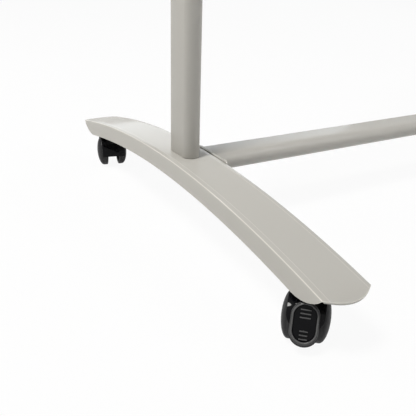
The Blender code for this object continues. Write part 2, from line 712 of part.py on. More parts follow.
# Board
def rail_outline():
    """Section of a frame rail: x runs from the board's edge inwards, y across its thickness."""
    half = RAIL_THICKNESS / 2
    web = RAIL_WIDTH - RAIL_SLOT
    steps = 3
    edge = (arc((RAIL_ROUND, half - RAIL_ROUND), RAIL_ROUND, pi / 2, pi, steps)
            + arc((RAIL_ROUND, -half + RAIL_ROUND), RAIL_ROUND, pi, 3 * pi / 2, steps))
    slot = [(RAIL_WIDTH, -half), (RAIL_WIDTH, -SLOT_HALF), (web, -SLOT_HALF), (web, SLOT_HALF),
            (RAIL_WIDTH, SLOT_HALF), (RAIL_WIDTH, half)]
    inner = web - RAIL_WALL
    room = half - RAIL_WALL
    soft = RAIL_ROUND - RAIL_WALL
    chamber = (arc((RAIL_ROUND, room - soft), soft, pi / 2, pi, steps)
               + arc((RAIL_ROUND, -room + soft), soft, pi, 3 * pi / 2, steps)
               + [(inner, -room), (inner, room)])
    return [edge + slot, chamber]


def edge_frame(edge):
    """The frame of a board edge: x inwards from the edge, y along -Y or +Y, z along the rail."""
    half_w, half_h = BOARD_WIDTH / 2, BOARD_HEIGHT / 2
    frames = {
        "left": (Vector((-half_w, 0, 0)), Vector((1, 0, 0)), Vector((0, 1, 0))),
        "right": (Vector((half_w, 0, 0)), Vector((-1, 0, 0)), Vector((0, 1, 0))),
        "bottom": (Vector((0, 0, -half_h)), Vector((0, 0, 1)), Vector((0, 1, 0))),
        "top": (Vector((0, 0, half_h)), Vector((0, 0, -1)), Vector((0, 1, 0))),
    }
    origin, inwards, across = frames[edge]
    along = inwards.cross(across)
    turn = Matrix((inwards, across, along)).transposed().to_4x4()
    return Matrix.Translation(origin) @ turn


def make_rail(edge, length, pivot):
    """One frame rail. The side rails have a hole at mid length for the pivot's stud."""
    rail = slab(rail_outline(), length, "XY")
    rail.data.transform(edge_frame(edge))
    if edge in ("left", "right"):
        side = -1 if edge == "left" else 1
        x = side * BOARD_WIDTH / 2
        cut(rail, rod(PIVOT_RADIUS + SEAT_GAP, 2 * (RAIL_WALL + SEAT_GAP), "X", (x, 0, 0)))
    part(f"frame_rail_{edge}", rail, "rail_aluminium", pivot.matrix_world, pivot)


def make_corner(name, side_x, side_z, pivot):
    """A corner cap: a rounded corner that holds the panel's corner, with a tongue for each rail."""
    inset, step = RAIL_WIDTH - RAIL_SLOT, RAIL_WIDTH
    outline = [(CORNER_SIZE, 0), (CORNER_SIZE, step), (step, step), (step, CORNER_SIZE), (0, CORNER_SIZE)]
    outline += arc((CORNER_ROUND, CORNER_ROUND), CORNER_ROUND, pi, 3 * pi / 2, CORNER_STEPS)
    cap = slab([outline], 2 * CORNER_HALF, "XZ")
    lip = CORNER_SIZE + OVERRUN
    cut(cap, block((inset, -SLOT_HALF, inset), (lip, SLOT_HALF, lip)))
    reach = CORNER_SIZE + CORNER_TONGUE
    low, high = RAIL_ROUND, inset - RAIL_WALL - SEAT_GAP
    room = RAIL_THICKNESS / 2 - RAIL_WALL - SEAT_GAP
    start = CORNER_SIZE - WELD
    join(cap, block((start, -room, low), (reach, room, high)),
         block((low, -room, start), (high, room, reach)))
    turn = {(-1, -1): 0, (1, -1): -pi / 2, (1, 1): pi, (-1, 1): pi / 2}[side_x, side_z]
    corner = Vector((side_x * BOARD_WIDTH / 2, 0, side_z * BOARD_HEIGHT / 2))
    cap.data.transform(Matrix.Translation(corner) @ Matrix.Rotation(turn, 4, "Y"))
    part(f"corner_cap_{name}", cap, "grey_plastic", pivot.matrix_world, pivot)


def make_panel(pivot):
    """The core board and the steel writing sheet on each of its faces."""
    inset = RAIL_WIDTH - RAIL_SLOT + SEAT_GAP
    half_w, half_h = BOARD_WIDTH / 2 - inset, BOARD_HEIGHT / 2 - inset
    half = CORE_THICKNESS / 2
    core = block((-half_w, -half, -half_h), (half_w, half, half_h))
    part("board_core", core, "board_core", pivot.matrix_world, pivot)
    near, far = half + SEAT_GAP, half + SEAT_GAP + FACE_SHEET
    front = block((-half_w, -far, -half_h), (half_w, -near, half_h))
    part("writing_sheet_front", front, "writing_face", pivot.matrix_world, pivot)
    back = block((-half_w, near, -half_h), (half_w, far, half_h))
    part("writing_sheet_back", back, "writing_face", pivot.matrix_world, pivot)


def make_pivot(side_name, side, pivot):
    """Pivot at one side: plate with its welded stud on the board, bush in the post, clamping knob."""
    plate_face = BOARD_WIDTH / 2 + SEAT_GAP
    post_inner = POST_X - TUBE_THICKNESS / 2
    post_outer = POST_X + TUBE_THICKNESS / 2
    flange_face = post_inner - SEAT_GAP - BUSH_FLANGE
    shoulder = flange_face - SEAT_GAP
    knob_face = post_outer + SEAT_GAP
    stud_end = knob_face + KNOB_BORE - SEAT_GAP
    flip = Matrix.Identity(4) if side > 0 else Matrix.Rotation(pi, 4, "Z")

    plate = slab([rounded_box(PIVOT_PLATE_WIDTH, PIVOT_PLATE_HEIGHT, PIVOT_PLATE)], PIVOT_PLATE, "YZ",
                 (plate_face + PIVOT_PLATE / 2, 0, 0))
    root = plate_face + PIVOT_PLATE - WELD
    stud = turned([(0, stud_end), (PIVOT_RADIUS, stud_end), (PIVOT_RADIUS, shoulder),
                   (SHOULDER_RADIUS, shoulder), (SHOULDER_RADIUS, root), (0, root)], PIN_STEPS)
    stud.data = to_mesh(stud)
    stud.modifiers.clear()
    stud.data.transform(Matrix.Rotation(pi / 2, 4, "Y"))
    join(plate, stud)
    plate.data.transform(flip)
    part(f"pivot_plate_{side_name}", plate, "steel", pivot.matrix_world, pivot)

    inner, outer = bore(PIVOT_RADIUS), PIVOT_RADIUS + SEAT_GAP + BUSH_WALL
    bush = turned([(outer, post_outer), (outer, post_inner - SEAT_GAP),
                   (BUSH_FLANGE_RADIUS, post_inner - SEAT_GAP), (BUSH_FLANGE_RADIUS, flange_face),
                   (inner, flange_face), (inner, post_outer)], PIN_STEPS, closed=True)
    part(f"pivot_bush_{side_name}", bush, "nylon",
         Matrix.Translation((0, 0, PIVOT_HEIGHT)) @ flip @ Matrix.Rotation(pi / 2, 4, "Y"))

    star = []
    for i in range(KNOB_STEPS):
        a = 2 * pi * i / KNOB_STEPS
        r = KNOB_RADIUS - KNOB_LOBE + KNOB_LOBE * cos(KNOB_LOBES * a)
        star.append((r * cos(a), r * sin(a)))
    grip_middle = knob_face + KNOB_HUB + KNOB_GRIP / 2
    knob = slab([star], KNOB_GRIP, "YZ", (grip_middle, 0, 0))
    join(knob, rod(KNOB_HUB_RADIUS, KNOB_HUB + WELD, "X", (knob_face + (KNOB_HUB + WELD) / 2, 0, 0)))
    bore_middle = knob_face + (KNOB_BORE - OVERRUN) / 2
    cut(knob, rod(bore(PIVOT_RADIUS), KNOB_BORE + OVERRUN, "X", (bore_middle, 0, 0)))
    knob.data.transform(flip)
    part(f"lock_knob_{side_name}", knob, "black_plastic", pivot.matrix_world, pivot)


def make_board():
    pivot = joint_empty("board_pivot", Matrix.Translation((0, 0, PIVOT_HEIGHT)))
    make_panel(pivot)
    for edge, span in (("top", BOARD_WIDTH), ("bottom", BOARD_WIDTH), ("left", BOARD_HEIGHT),
                       ("right", BOARD_HEIGHT)):
        make_rail(edge, span - 2 * (CORNER_SIZE + SEAT_GAP), pivot)
    for name, side_x, side_z in (("bottom_left", -1, -1), ("bottom_right", 1, -1),
                                 ("top_right", 1, 1), ("top_left", -1, 1)):
        make_corner(name, side_x, side_z, pivot)
    for side_name, side in SIDES:
        make_pivot(side_name, side, pivot)


# Pen tray
def make_tray():
    """A folded tray between the posts, open above, with a hemmed lip on each side."""
    half, sheet = TRAY_DEPTH / 2, TRAY_SHEET
    low, high = TRAY_BOTTOM, TRAY_TOP
    outside = [(-half, high), (-half, low), (half, low), (half, high)]
    hem_right = [(half - TRAY_HEM, high), (half - TRAY_HEM, high - sheet), (half - sheet, high - sheet)]
    hem_left = [(-half + sheet, high - sheet), (-half + TRAY_HEM, high - sheet), (-half + TRAY_HEM, high)]
    inside = [(half - sheet, low + sheet), (-half + sheet, low + sheet)]
    outline = outside + hem_right + inside + hem_left
    end = POST_X - TUBE_THICKNESS / 2 - SEAT_GAP
    tray = slab([outline], 2 * end - TRAY_END_PLATE, "YZ")
    tall = TRAY_LIP + TRAY_END_DROP
    plates = [slab([rounded_box(TUBE_WIDTH, tall, TRAY_END_ROUND)], TRAY_END_PLATE, "YZ",
                   (side * (end - TRAY_END_PLATE / 2), 0, TRAY_TOP - tall / 2)) for _, side in SIDES]
    part("pen_tray", join(tray, *plates), "stand_paint")


for foot_name, foot_side in SIDES:
    make_foot(foot_name, foot_side)
    make_post(foot_name, foot_side)
make_beam()
for caster in CASTERS:
    make_caster(*caster)
make_board()
make_tray()
bpy.context.view_layer.update()
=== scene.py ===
"""Mobile whiteboard: the finished look of its pieces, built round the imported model.

Metres, +Z up. The origin is on the floor under the middle of the stand. The posts
stand at -X and +X, and the writing faces look along -Y (front) and +Y (back).
"""

import json
from math import asin, atan2, cos, hypot, pi, radians, sin, sqrt, tan

import bmesh
import bpy
from bpy.props import FloatProperty, FloatVectorProperty, PointerProperty
from mathutils import Matrix, Vector


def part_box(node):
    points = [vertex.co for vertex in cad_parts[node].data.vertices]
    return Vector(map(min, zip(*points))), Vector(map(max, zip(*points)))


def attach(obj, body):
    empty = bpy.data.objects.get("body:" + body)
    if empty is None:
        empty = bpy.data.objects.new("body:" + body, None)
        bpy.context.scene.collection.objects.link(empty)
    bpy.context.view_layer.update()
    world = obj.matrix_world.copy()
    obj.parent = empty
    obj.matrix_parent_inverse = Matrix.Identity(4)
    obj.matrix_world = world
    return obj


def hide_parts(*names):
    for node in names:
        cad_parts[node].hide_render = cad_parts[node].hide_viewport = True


bl_info = {
    "name": "Mobile Whiteboard",
    "version": (1, 0, 0),
    "blender": (4, 5, 0),
    "location": "View3D > Sidebar > Whiteboard",
    "description": "Models and finishes the pieces of a revolving whiteboard on castered feet",
    "category": "Add Mesh",
}

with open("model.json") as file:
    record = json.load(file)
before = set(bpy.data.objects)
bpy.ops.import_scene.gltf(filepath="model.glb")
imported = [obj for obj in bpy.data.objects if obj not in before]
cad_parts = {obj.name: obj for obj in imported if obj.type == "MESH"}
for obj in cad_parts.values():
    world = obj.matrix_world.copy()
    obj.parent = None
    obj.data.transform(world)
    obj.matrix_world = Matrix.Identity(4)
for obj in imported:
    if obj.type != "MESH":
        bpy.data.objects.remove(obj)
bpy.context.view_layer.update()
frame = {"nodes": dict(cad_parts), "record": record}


def cad_middle(node):
    low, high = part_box(node)
    return (high + low) / 2


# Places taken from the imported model
SIDES = (("left", -1), ("right", 1))
POST_X = cad_middle("post_right").x
FOOT_LOW, FOOT_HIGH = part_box("foot_left")
BEAM_DROP = 0.01355  # From the top of a foot to the middle of the beam
BEAM_Z = FOOT_HIGH.z - BEAM_DROP
PIVOT_Z = cad_middle("board_core").z
CASTER_Y = cad_middle("caster_stem_back_left").y
SWIVELS = {"front_left": radians(226), "front_right": radians(314),
           "back_left": radians(77), "back_right": radians(103)}

# How close two places are to count as one: for a shape's own points, and for marks on a bowed one
TIGHT = 0.00001
TRACE = 0.0002


# Sizes and colours
def length(name, default, description):
    return FloatProperty(name=name, description=description, default=default, min=0,
                         subtype="DISTANCE", precision=4)


def colour(name, default, description):
    return FloatVectorProperty(name=name, description=description, default=default, size=3,
                               min=0, max=1, subtype="COLOR")


class StandSizes(bpy.types.PropertyGroup):
    foot_width: length("Foot width", FOOT_HIGH.x - FOOT_LOW.x, "Width of a foot across its top")
    foot_depth: length("Foot depth", 0.024, "Height of a foot's side walls")
    foot_reach: length("Foot reach", 0.317, "From the middle of a foot to the corners of its end")
    foot_tip: length("Foot tip", 0.0121, "How far the rounded end runs past its corners")
    foot_fall: length("Foot fall", 0.034, "How far the bowed foot drops from middle to end")
    foot_nose: length("Foot nose", 0.045, "How far the end of a side wall is swept back")
    foot_band: length("Foot band", 0.0062, "Width of the sloped band beside the foot's edge")
    foot_band_fall: length("Foot band fall", 0.0006, "How far that band slopes down")
    foot_crease: length("Foot crease", 0.0080, "Radius of the bend between top and band")
    foot_edge: length("Foot edge", 0.0016, "Radius of the bend between band and wall")
    foot_sheet: length("Foot sheet", 0.0025, "Thickness of the pressed sheet")
    tube_width: length("Tube width", 0.053, "Wide side of the flat-oval tube")
    tube_thickness: length("Tube thickness", 0.0235, "Narrow side of the flat-oval tube")
    plate_width: length("End plate width", 0.113, "Length of the plate welded on the beam's end")
    plate_thickness: length("End plate thickness", 0.003, "Thickness of that plate")


class CasterSizes(bpy.types.PropertyGroup):
    trail: length("Trail", 0.013, "From the swivel axis back to the axle")
    wheel_radius: length("Wheel radius", 0.025, "Radius of a wheel's tread")
    wheel_face: length("Wheel face", 0.0093, "From the middle of the caster to a wheel")
    wheel_tread: length("Wheel tread", 0.0060, "Width of the flat tread")
    wheel_dome: length("Wheel dome", 0.0093, "How far the shoulder and the outer face bulge")
    fender_half: length("Fender half width", 0.0188, "From the middle of the caster to the hood's edge")
    fender_radius: length("Fender radius", 0.0276, "Outer radius of the hood over the wheels")
    fender_wall: length("Fender wall", 0.0016, "Wall of the hood over the wheels")
    ridge: length("Ridge", 0.0012, "How far the hood's middle band is raised")
    ridge_width: length("Ridge width", 0.0225, "Width of the hood's middle band")
    web: length("Web", 0.0174, "Thickness of the hood between the wheels")
    pedal_tilt: FloatProperty(name="Pedal tilt", description="How far the brake pedal leans back",
                              default=radians(20), subtype="ANGLE")
    pedal_pivot: length("Pedal pivot", 0.0190, "From the axle to the pedal's pin")
    pedal_standoff: length("Pedal standoff", 0.0092, "From the pin to the back of the pedal")
    pedal_width: length("Pedal width", 0.027, "Width of the brake pedal")
    pedal_length: length("Pedal length", 0.041, "Length of the brake pedal")
    pedal_plate: length("Pedal plate", 0.0024, "Thickness of the pedal in its well")
    pedal_skirt: length("Pedal skirt", 0.0032, "How far the pedal's back edge hangs below its rim")
    ridge_pitch: length("Grip ridge pitch", 0.0039, "Distance between the pedal's grip ridges")


class BoardSizes(bpy.types.PropertyGroup):
    width: length("Board width", 1.200, "Width over the frame")
    height: length("Board height", 0.900, "Height over the frame")
    rail: length("Rail", 0.024, "Width and thickness of a frame rail")
    rail_round: length("Rail rounding", 0.005, "Radius of a rail's outer edges")
    corner: length("Corner cap", 0.044, "Length of a corner cap along each edge")
    corner_round: length("Corner rounding", 0.022, "Outer radius of a corner cap")
    knob_radius: length("Knob radius", 0.024, "Radius over the lobes of a clamping knob")
    tray_depth: length("Tray depth", 0.080, "Front to back over the pen tray")
    tray_lip: length("Tray lip", 0.018, "Height of the tray's lips")


class Finishes(bpy.types.PropertyGroup):
    paint: colour("Stand paint", (0.470, 0.458, 0.426), "Warm light grey of the steel stand")
    plastic: colour("Caster plastic", (0.002, 0.002, 0.003), "Black of hoods, wheels and pedals")
    writing: colour("Writing face", (0.80, 0.81, 0.81), "White lacquer of the board")
    aluminium: colour("Aluminium", (0.66, 0.67, 0.68), "Anodised frame rails")
    cap: colour("Corner caps", (0.20, 0.205, 0.21), "Grey plastic of the corner caps")
    knob: colour("Knobs", (0.022, 0.022, 0.025), "Black plastic of knobs and post caps")
    steel: colour("Zinc plate", (0.56, 0.56, 0.57), "Zinc-plated bolts, axles and brackets")
    nylon: colour("Nylon", (0.74, 0.72, 0.66), "Pivot bushes")
    core: colour("Board core", (0.42, 0.29, 0.17), "Pressed-fibre core of the panel")


class StageSettings(bpy.types.PropertyGroup):
    lens: length("Lens", 0.04825, "Focal length of the camera")
    floor: colour("Floor", (0.80, 0.80, 0.80), "Pale floor")
    daylight: FloatProperty(name="Daylight", description="Strength of the even light all round",
                            default=0.10, min=0, max=1, subtype="FACTOR")


# Node materials
class Signal:
    """A node socket that takes part in Python arithmetic."""

    def __init__(self, nodes, socket):
        self.nodes = nodes
        self.socket = socket

    def _math(self, operation, a, b):
        return self.nodes.node("ShaderNodeMath", {"operation": operation}, {0: a, 1: b})

    def __add__(self, other):
        return self._math("ADD", self, other)

    __radd__ = __add__

    def __rsub__(self, other):
        return self._math("SUBTRACT", other, self)

    def __mul__(self, other):
        return self._math("MULTIPLY", self, other)

    __rmul__ = __mul__

    def above(self, low, high):
        """0 below low, 1 above high, with a smooth step between."""
        return self.nodes.node("ShaderNodeMapRange", {"interpolation_type": "SMOOTHSTEP"},
                               {0: self, 1: low, 2: high})


class Nodes:
    """A node tree that grows by one node at a time."""

    def __init__(self, tree):
        self.tree = tree

    def node(self, kind, settings=None, sockets=None, out=0):
        """Add a node: its settings first, then the values or links of its sockets."""
        node = self.tree.nodes.new(kind)
        for name, value in (settings or {}).items():
            setattr(node, name, value)
        for key, value in (sockets or {}).items():
            self.feed(node.inputs[key], value)
        return Signal(self, node.outputs[out])

    def feed(self, socket, value):
        if isinstance(value, Signal):
            self.tree.links.new(value.socket, socket)
        else:
            socket.default_value = value

    def seen(self):
        """1 where something is seen directly, in a gloss or through glass, and 0 where it lights."""
        rays = self.node("ShaderNodeLightPath", out="Is Camera Ray").socket.node
        kinds = ("Is Camera Ray", "Is Glossy Ray", "Is Transmission Ray")
        first, *others = (Signal(self, rays.outputs[kind]) for kind in kinds)
        return sum(others, first)


class Finish(Nodes):
    """A procedural material under construction on one Principled shader."""

    def __init__(self, name, constants):
        self.material = bpy.data.materials.new(name)
        self.material.use_nodes = True
        super().__init__(self.material.node_tree)
        self.shader = self.tree.nodes["Principled BSDF"]
        for socket, value in constants.items():
            self.shader.inputs[socket].default_value = value
        self.place = self.node("ShaderNodeTexCoord", out="Object")

    def stretched(self, scale, angle=(0, 0, 0)):
        """The object's coordinates, scaled and turned."""
        return self.node("ShaderNodeMapping", None,
                         {"Vector": self.place, "Scale": scale, "Rotation": angle})

    def noise(self, scale, detail=2.0, rough=0.5, where=None):
        return self.node("ShaderNodeTexNoise", None, {"Vector": where or self.place, "Scale": scale,
                                                      "Detail": detail, "Roughness": rough})

    def cells(self, scale, where=None):
        return self.node("ShaderNodeTexVoronoi", None, {"Vector": where or self.place, "Scale": scale})

    def marked(self, name):
        """A number stored on the piece's points, or 0 where it has none."""
        return self.node("ShaderNodeAttribute", {"attribute_name": name}, out="Fac")

    def blend(self, factor, first, second):
        """A colour between two others."""
        def full(tone):
            return tone if isinstance(tone, Signal) else (*tone, 1)
        return self.node("ShaderNodeMix", {"data_type": "RGBA"},
                         {0: factor, 6: full(first), 7: full(second)}, out=2)

    def set(self, socket, value):
        self.feed(self.shader.inputs[socket], value)

    def relief(self, height, distance, strength=1.0):
        """Raise the surface by a height map, in metres."""
        self.set("Normal", self.node("ShaderNodeBump", None,
                                     {"Strength": strength, "Distance": distance, "Height": height}))


def tinted(tone, factor):
    return tuple(min(1, c * factor) for c in tone)


MATERIALS = {}


def paint_finish(tones):
    """Glossy powder coat over pressed steel, with faint orange peel, rubbed spots, and painted
    highlight lines where a piece is marked edge.
    """
    finish = Finish("stand_paint", {"Coat Roughness": 0.10, "Specular IOR Level": 0.0})
    tone = tuple(tones.paint)
    clouds = finish.noise(5, 2)
    fine = finish.noise(700, 2)
    even = finish.blend(clouds * 0.6 + fine * 0.4, tinted(tone, 0.975), tinted(tone, 1.025))
    # Painted highlight: where a piece is marked edge, the paint turns much lighter, standing in for
    # glints along the bends and rims
    finish.set("Base Color", finish.blend(finish.marked("edge") * 0.75, even, tinted(tone, 1.6)))
    rubbed = finish.noise(22, 3, 0.6).above(0.62, 0.80)
    finish.set("Roughness", 0.30 + 0.10 * rubbed)
    finish.set("Coat Weight", 0.42 - 0.14 * rubbed)
    finish.relief(finish.noise(330, 1.0), 0.00003, 0.10)
    return finish.material


def plastic_finish(name, tone, gloss, grain, shine=0.4, film=0.0):
    """Moulded plastic with a fine grain, a little dust and scuffs, and greyer, duller marked spots:
    wear, and on the pedal's rim and ridges also a painted highlight.
    """
    finish = Finish(name, {"Roughness": gloss, "Specular IOR Level": shine, "Coat Weight": film,
                           "Coat Roughness": 0.08})
    dust = finish.noise(60, 4, 0.6).above(0.52, 0.78)
    scuffs = finish.noise(30, 2, 0.6, finish.stretched((1, 1, 9), (0.4, 0.2, 0.7))).above(0.60, 0.72)
    worn = finish.marked("worn")
    even = finish.blend(dust * 0.16 + scuffs * 0.12, tone, tuple(c + 0.020 for c in tone))
    # Marked spots turn greyer: wear on the wheels, wear and a painted highlight on the pedal's rim and
    # ridges
    finish.set("Base Color", finish.blend(worn, even, tuple(c + 0.22 for c in tone)))
    finish.set("Roughness", gloss + 0.10 * dust + 0.12 * scuffs + 0.16 * worn)
    finish.relief(finish.noise(1 / grain, 2, 0.6), grain * 0.05, 0.3)
    return finish.material


def metal_finish(name, tone, gloss, streaks, stretch):
    """Bare metal with streaks drawn along one direction and a mottled bloom."""
    finish = Finish(name, {"Metallic": 1.0})
    drawn = finish.noise(streaks, 2, 0.7, finish.stretched(stretch))
    bloom = finish.noise(35, 3)
    mottled = drawn * 0.5 + bloom * 0.5
    finish.set("Base Color", finish.blend(mottled, tinted(tone, 0.90), tinted(tone, 1.08)))
    finish.set("Roughness", gloss + 0.12 * drawn + 0.08 * bloom.above(0.4, 0.7))
    finish.relief(drawn, 0.00001, 0.25)
    return finish.material


def writing_finish(tones):
    """Glossy white lacquer with the faint haze of wiped ink."""
    finish = Finish("writing_face", {"Coat Roughness": 0.04, "Specular IOR Level": 0.5})
    tone = tuple(tones.writing)
    wiped = finish.noise(3, 5, 0.6, finish.stretched((1, 1, 5), (0, 0.35, 0))).above(0.48, 0.75)
    specks = finish.cells(900).above(0.02, 0.10)
    haze = wiped * 0.55 + (1 - specks) * 0.10
    finish.set("Base Color", finish.blend(haze, tone, tinted(tone, 0.93)))
    finish.set("Roughness", 0.14 + 0.16 * wiped)
    finish.set("Coat Weight", 0.35 - 0.15 * wiped)
    finish.relief(finish.noise(160, 1), 0.00002, 0.15)
    return finish.material


def core_finish(tones):
    """Pressed fibre with flecks of darker and paler wood."""
    finish = Finish("board_core", {"Specular IOR Level": 0.2})
    tone = tuple(tones.core)
    flecks = finish.noise(900, 3, 0.7, finish.stretched((1, 1, 0.4)))
    finish.set("Base Color",
               finish.blend(flecks.above(0.35, 0.65), tinted(tone, 0.7), tinted(tone, 1.25)))
    finish.set("Roughness", 0.75 + 0.2 * flecks)
    finish.relief(flecks, 0.0002, 0.5)
    return finish.material


# Each kind of plastic and metal: its name, its colour's setting, its gloss and its further values
PLASTICS = (
    ("caster_plastic", "plastic", 0.11, 0.0006, 0.0, 0.22),
    ("black_plastic", "knob", 0.38, 0.0009),
    ("grey_plastic", "cap", 0.42, 0.0009),
    ("nylon", "nylon", 0.45, 0.0009),
)
METALS = (
    ("steel", "steel", 0.25, 260, (1, 1, 1)),
    ("rail_aluminium", "aluminium", 0.26, 1400, (0.02, 1, 1)),
)


class WHITEBOARD_OT_finishes(bpy.types.Operator):
    """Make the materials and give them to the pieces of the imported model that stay"""
    bl_idname = "whiteboard.finishes"
    bl_label = "Finishes"

    def execute(self, context):
        tones = context.scene.whiteboard_finishes
        MATERIALS["stand_paint"] = paint_finish(tones)
        for make, kinds in ((plastic_finish, PLASTICS), (metal_finish, METALS)):
            for name, tone, *values in kinds:
                MATERIALS[name] = make(name, tuple(getattr(tones, tone)), *values)
        MATERIALS["writing_face"] = writing_finish(tones)
        MATERIALS["board_core"] = core_finish(tones)
        for node in frame["record"]["subparts"]:
            for slot in frame["nodes"][node["node"]].material_slots:
                slot.material = MATERIALS[node["material_slot"]]
        return {"FINISHED"}


# Modelling
def to_object_mode():
    if bpy.context.object and bpy.context.object.mode != "OBJECT":
        bpy.ops.object.mode_set(mode="OBJECT")


def only(piece):
    """Select one piece alone and make it active."""
    to_object_mode()
    bpy.ops.object.select_all(action="DESELECT")
    piece.select_set(True)
    bpy.context.view_layer.objects.active = piece


def begin(add, name, **options):
    """Add a primitive at its size and place, and open it in edit mode."""
    to_object_mode()
    bpy.ops.object.select_all(action="DESELECT")
    add(**options)
    piece = bpy.context.object
    piece.name = name
    bpy.ops.object.transform_apply(location=True, rotation=True, scale=True)
    bpy.ops.object.mode_set(mode="EDIT")
    return piece


def begin_box(name, corner, opposite):
    """A box between two corners, given in either order."""
    corner, opposite = Vector(corner), Vector(opposite)
    return begin(bpy.ops.mesh.primitive_cube_add, name, size=1, location=(corner + opposite) / 2,
                 scale=[abs(side) for side in opposite - corner])


def begin_round(name, radius, depth, middle, axis="Z", steps=48):
    """A cylinder along an axis, with a flat and not a corner on each of its four sides."""
    lay = {"X": (0, pi / 2, 0), "Y": (pi / 2, 0, 0), "Z": (0, 0, pi / steps)}[axis]
    return begin(bpy.ops.mesh.primitive_cylinder_add, name, vertices=steps, radius=radius,
                 depth=depth, location=middle, rotation=lay)


def choose(kind, test):
    """In edit mode, select the vertices, edges or faces whose middle and direction pass a test."""
    bpy.ops.mesh.select_mode(type=kind)
    bpy.ops.mesh.select_all(action="DESELECT")
    mesh = bpy.context.object.data
    form = bmesh.from_edit_mesh(mesh)
    if kind == "VERT":
        for vert in form.verts:
            vert.select_set(bool(test(vert.co, vert.normal)))
    elif kind == "EDGE":
        for edge in form.edges:
            a, b = (vert.co for vert in edge.verts)
            edge.select_set(bool(test((a + b) / 2, (b - a).normalized())))
    else:
        form.normal_update()
        for face in form.faces:
            face.select_set(bool(test(face.calc_center_median(), face.normal)))
    form.select_flush_mode()
    bmesh.update_edit_mesh(mesh)


def choose_all():
    bpy.ops.mesh.select_all(action="SELECT")


def move(x=0.0, y=0.0, z=0.0):
    bpy.ops.transform.translate(value=(x, y, z))


def resize(centre, x=1.0, y=1.0, z=1.0):
    bpy.ops.transform.resize(value=(x, y, z), center_override=centre)


def extrude(x=0.0, y=0.0, z=0.0):
    bpy.ops.mesh.extrude_region_move(TRANSFORM_OT_translate={"value": (x, y, z)})


def inset(thickness, depth=0.0):
    bpy.ops.mesh.inset(thickness=thickness, depth=depth)


def extrude_edges(x=0.0, y=0.0, z=0.0):
    bpy.ops.mesh.extrude_edges_move(TRANSFORM_OT_translate={"value": (x, y, z)})


def round_off(radius, steps=4):
    """Bevel the selected edges."""
    bpy.ops.mesh.bevel(offset=radius, segments=steps, profile=0.5, affect="EDGES",
                       clamp_overlap=False)


def round_along(axis, radius, steps=4):
    """Bevel the edges that run along an axis."""
    choose("EDGE", lambda co, way: abs(way[axis]) > 0.9)
    round_off(radius, steps)


def round_across(axis, radius, steps, *places):
    """Bevel the edges that lie across an axis, at some places on it or at all."""
    choose("EDGE", lambda co, way: abs(way[axis]) < 0.1
           and (not places or any(abs(co[axis] - at) < TIGHT for at in places)))
    round_off(radius, steps)


def face_outwards():
    choose_all()
    bpy.ops.mesh.normals_make_consistent(inside=False)


def face_sheet(up, test=lambda co: True):
    """Point an open sheet's faces all to one side, so that those that pass a test look up or down."""
    face_outwards()
    form = bmesh.from_edit_mesh(bpy.context.object.data)
    rise = sum(face.normal.z * face.calc_area() for face in form.faces
               if test(face.calc_center_median()))
    if (rise > 0) != up:
        bpy.ops.mesh.flip_normals()


def modify(piece, kind, **settings):
    """Give a piece a modifier and apply it."""
    only(piece)
    modifier = piece.modifiers.new(kind, kind)
    for name, value in settings.items():
        setattr(modifier, name, value)
    bpy.ops.object.modifier_apply(modifier=modifier.name)


def thicken(sheet, wall):
    """Give a sheet its wall, on the side that its faces turn away from."""
    modify(sheet, "SOLIDIFY", thickness=wall, offset=-1, use_even_offset=True)


def soften(piece, width, steps=2, angle=radians(40)):
    """Round the sharp edges of a finished shape."""
    modify(piece, "BEVEL", width=width, segments=steps, limit_method="ANGLE", angle_limit=angle,
           use_clamp_overlap=True)


def discard(*pieces):
    for piece in pieces:
        bpy.data.objects.remove(piece)


def combine(piece, other, operation):
    modify(piece, "BOOLEAN", operation=operation, object=other, solver="EXACT")
    discard(other)


def weld(piece, *others):
    for other in others:
        combine(piece, other, "UNION")


def carve(piece, *others):
    for other in others:
        combine(piece, other, "DIFFERENCE")


def mark(piece, name, measure):
    """Store a number on every point of a piece, for its finish to read."""
    to_object_mode()
    marks = piece.data.attributes.new(name, "FLOAT", "POINT")
    for point, stored in zip(piece.data.vertices, marks.data):
        stored.value = measure(point.co)


def put(piece, place):
    """Move a piece to its place, and bake the place into its mesh."""
    only(piece)
    piece.matrix_world = place
    bpy.ops.object.transform_apply(location=True, rotation=True, scale=True)


def copied(piece, name, place):
    """Another of a piece, with its own mesh, in another place."""
    only(piece)
    bpy.ops.object.duplicate(linked=False)
    twin = bpy.context.object
    twin.name = name
    twin.data.name = name
    put(twin, place)
    return twin


def settle(piece, body, slot, *nodes, smooth=radians(35)):
    """Smooth a finished piece, finish it, and tie it to its body and to what it stands for."""
    only(piece)
    piece.data.name = piece.name
    bpy.ops.object.shade_smooth_by_angle(angle=smooth)
    piece.data.materials.clear()
    piece.data.materials.append(MATERIALS[slot])
    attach(piece, body)
    if nodes:
        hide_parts(*nodes)
    return piece


def settle_both(piece, place, body, slot, node):
    """Settle a piece of one side and its copy at the other side, with the side's name in all names."""
    side, far = ("left", "right") if piece.name.endswith("left") else ("right", "left")
    twin = copied(piece, piece.name.replace(side, far), place)
    settle(piece, body.format(side), slot, node.format(side))
    settle(twin, body.format(far), slot, node.format(far))


# Stand
FOOT_GRID = (12, 28)
WALL_ROWS = 9
TIP_ROW = 0.0009
NOSE_CURVE = 1.2
SHEET_EDGE = 0.0004


